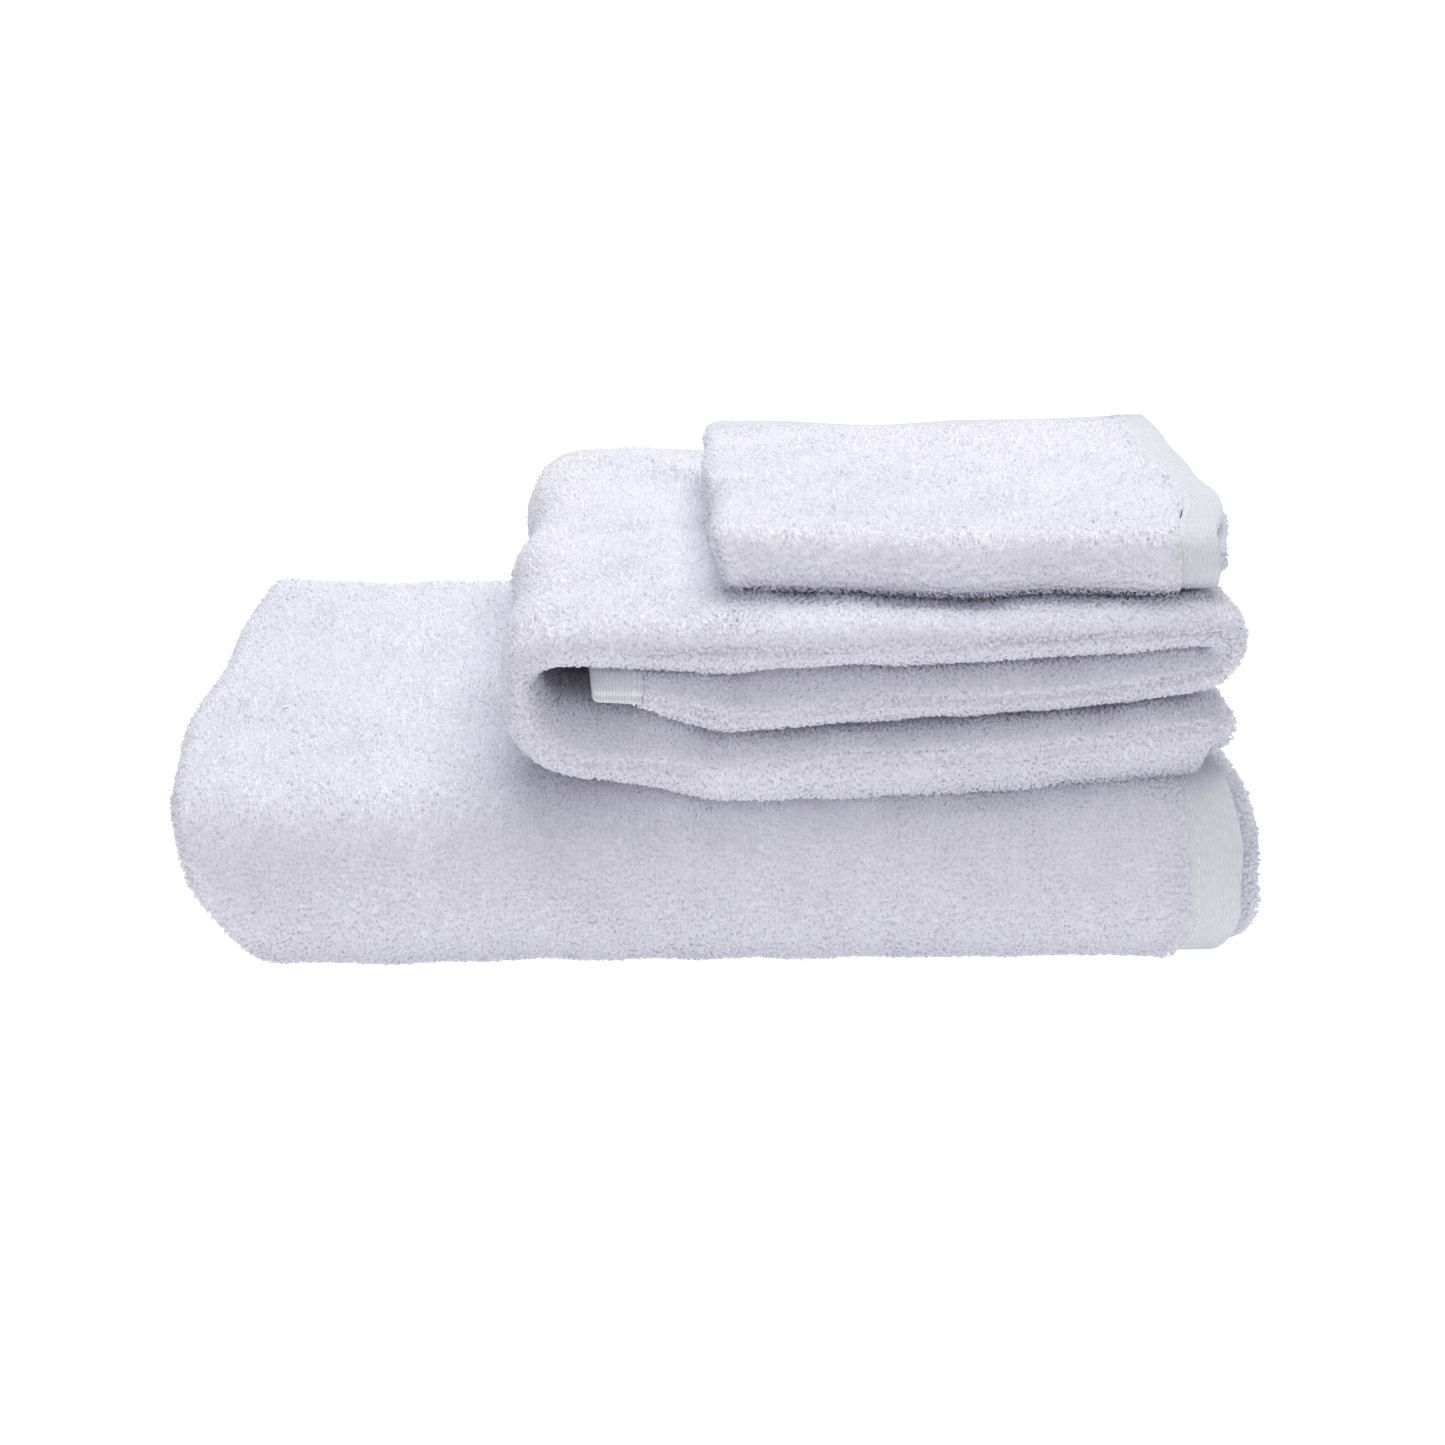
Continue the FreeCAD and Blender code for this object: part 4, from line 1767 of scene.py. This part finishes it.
@dataclass
class FaceCloth(Towel):
    """Face cloth, folded in quarters with its smooth bend to the front."""

    square: float = 2.4
    rim: float = 13.0 * MM
    side_bulge: float = 9.5 * MM
    back_reach: float = 7.0 * MM
    front: Limits = (0.0, 70.0 * MM)
    rear: Limits = (0.0, 80.0 * MM)
    open_side: Limits = (60.0 * MM, 100.0 * MM)

    def path(self) -> FoldPath:
        """Two levels with one bend.

        Returns:
            The path.
        """
        front = self.low[1] + self.pitch / 2 + self.ply
        back = self.end_a[1]
        edge = self.fold
        stations = [
            Station(back, self.level(0), self.ply, edge + 1.5 * MM),
            Station(front, self.level(0), self.ply, edge + 3.0 * MM),
            Station(front, self.level(1), self.ply, edge + 1.0 * MM),
            Station(back, self.level(1), self.ply, edge),
        ]
        tip = Station(front - self.pitch / 2, self.level(0.5), self.ply, edge + 3.5 * MM)
        return FoldPath(stations, [Turn(tip, self.square)], self.outside, self.soft)

    def patches(self) -> list[Patch]:
        """Everything but the faces inside the fold.

        Returns:
            The patches.
        """
        rim, wide = self.rim, self.wide
        return [
            Patch(0.0, 1.0, -rim, rim),
            Patch(0.0, 1.0, rim, wide, 2.0),
            Patch(1.0, 2.0, -rim, wide),
            Patch(2.0, 3.0, -rim, wide),
        ]

    def lay(self, place: Array) -> Array:
        """The open side swells out behind the front bend.

        Args:
            place: Places, (..., 3).

        Returns:
            Places as this towel lies, after the shared sway.
        """
        moved = place.copy()
        y = place[..., 1]
        behind = ramp(y - self.low[1], self.front) * (1.0 - 0.4 * ramp(y, self.rear))
        open_side = ramp(place[..., 0], self.open_side)
        moved[..., 0] += self.side_bulge * behind * open_side
        moved[..., 1] += self.back_reach * ease(y / self.high[1])
        return self.sway(moved)


# ---------------------------------------------------------------- studio


@dataclass(frozen=True)
class Lamp:
    """A square soft lamp: its place, its turn in degrees, its side and its power in watts."""

    name: str
    place: Triple
    turn: Triple
    size: float
    power: float

    def build(self) -> None:
        """Puts the lamp into the scene."""
        data = bpy.data.lights.new(self.name, "AREA")
        data.shape, data.size, data.energy = "SQUARE", self.size, self.power
        made = bpy.data.objects.new(self.name, data)
        made.location = self.place
        made.rotation_euler = [math.radians(angle) for angle in self.turn]
        bpy.context.scene.collection.objects.link(made)


@dataclass(frozen=True)
class Studio:
    """White floor and sky, a soft lamp above and behind, a weaker one in front, and the camera.

    The camera sees a plain white sky and floor, and the towels are lit by dimmer ones.
    """

    lens: float = 61.04
    film: float = 36.0
    camera_place: Triple = (-0.0171, -0.852, 0.353)
    look_down: float = 19.76
    look_right: float = 1.27
    near: float = 0.02
    far: float = 50.0
    overhead: Lamp = Lamp("overhead", (0.1, 0.4, 1.5), (-15.0, 4.0, 0.0), 1.4, 17.22)
    front_fill: Lamp = Lamp("front_fill", (-0.25, -1.5, 0.4), (76.0, 0.0, -9.0), 1.0, 2.9)
    sky: float = 0.47
    sky_tint: Triple = (0.925, 0.93, 1.0)
    floor_width: float = 80.0
    floor_shade: float = 0.8
    floor_glow: float = 0.32
    floor_white: float = 0.45
    bounces: int = 8

    def floor(self, size: float) -> bpy.types.Object:
        """A wide white floor.

        Args:
            size: Width of the object, of which the floor's is a multiple.

        Returns:
            The floor.
        """
        mesh = bpy.data.meshes.new("floor")
        far = self.floor_width / 2 * size
        corners = [(-far, -far, 0.0), (far, -far, 0.0), (far, far, 0.0), (-far, far, 0.0)]
        mesh.from_pydata(corners, [], [(0, 1, 2, 3)])
        material = bpy.data.materials.new("floor_white")
        material.use_nodes = True
        shader = material.node_tree.nodes["Principled BSDF"]
        shader.inputs["Base Color"].default_value = (*[self.floor_shade] * 3, 1.0)
        shader.inputs["Roughness"].default_value = 1.0
        shader.inputs["Specular IOR Level"].default_value = 0.0
        shader.inputs["Emission Color"].default_value = (1.0, 1.0, 1.0, 1.0)
        tree = Tree(material.node_tree)
        seen = tree.add("ShaderNodeLightPath").outputs["Is Camera Ray"]
        glow = tree.math("MULTIPLY_ADD", seen, self.floor_white, self.floor_glow)
        tree.link(glow, shader.inputs["Emission Strength"])
        mesh.materials.append(material)
        made = bpy.data.objects.new("floor", mesh)
        bpy.context.scene.collection.objects.link(made)
        return made

    def air(self) -> bpy.types.World:
        """The sky: plain white to the camera, dimmer and a little blue to the towels.

        Returns:
            The world.
        """
        world = bpy.data.worlds.new("sky")
        world.use_nodes = True
        background = world.node_tree.nodes["Background"]
        tree = Tree(world.node_tree)
        seen = tree.add("ShaderNodeLightPath").outputs["Is Camera Ray"]
        glow = tree.math("MULTIPLY_ADD", seen, 1.0 - self.sky, self.sky)
        tree.link(glow, background.inputs["Strength"])
        tint = mix_colours(tree, seen, (*self.sky_tint, 1.0), (1.0, 1.0, 1.0, 1.0))
        tree.link(tint, background.inputs["Color"])
        return world

    def camera(self) -> bpy.types.Object:
        """The camera, in front of the stack and a little above it.

        Returns:
            The camera.
        """
        made = bpy.data.objects.new("camera", bpy.data.cameras.new("camera"))
        made.data.lens, made.data.sensor_width = self.lens, self.film
        made.data.clip_start, made.data.clip_end = self.near, self.far
        made.location = self.camera_place
        tilt, turn = math.radians(90.0 - self.look_down), math.radians(-self.look_right)
        made.rotation_euler = (tilt, 0.0, turn)
        bpy.context.scene.collection.objects.link(made)
        return made

    def build(self, width: float) -> None:
        """Sets up floor, sky, lamps, camera and plain tone.

        Args:
            width: Width of the object.
        """
        scene = bpy.context.scene
        self.floor(width)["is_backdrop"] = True
        scene.world = self.air()
        self.overhead.build()
        self.front_fill.build()
        scene.camera = self.camera()
        scene.view_settings.view_transform = "Standard"
        scene.cycles.diffuse_bounces = self.bounces


def main() -> None:
    """Builds the three towels and the studio around the frame."""
    logging.basicConfig(level=logging.INFO, format="%(name)s %(message)s")
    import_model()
    cad_low, cad_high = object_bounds()
    GROUPS.update(mottle=mottle_group(), yarn=yarn_group(), rib=rib_group())
    sway = Sway(
        rise=Waves(0.9 * MM, 90 * MM, 220 * MM, seed=11),
        drift_x=Waves(0.8 * MM, 70 * MM, 180 * MM, seed=12),
        drift_y=Waves(0.8 * MM, 80 * MM, 200 * MM, seed=13),
    )
    towels = [
        BathTowel(
            label="bath_towel",
            body="bath_towel",
            flat=(0.70, 1.40),
            rests_on=["floor"],
            across=0,
            outside=1,
            levels=6,
            seed=100,
            sway=sway,
            low_limit=0.05 * MM,
            fuzz_marks=(1.0, 6.0),
        ),
        HandTowel(
            label="hand_towel",
            body="hand_towel",
            flat=(0.50, 0.90),
            rests_on=["bath_towel_cloth"],
            across=1,
            outside=-1,
            levels=4,
            seed=200,
            sway=sway,
            fuzz_marks=(3.0, 10.0),
        ),
        FaceCloth(
            label="face_cloth",
            body="face_cloth",
            flat=(0.33, 0.33),
            rests_on=["hand_towel_cloth"],
            across=0,
            outside=1,
            levels=2,
            seed=300,
            sway=sway,
        ),
    ]
    for towel in towels:
        towel.build()
        LOG.info("%s: path %.3f m", towel.label, towel.strip.path.length)
    total = sum(2 * len(piece.data.polygons) for towel in towels for piece in towel.made)
    LOG.info("%d triangles", total)
    Studio().build(cad_high[0] - cad_low[0])


if __name__ == "__main__":
    main()
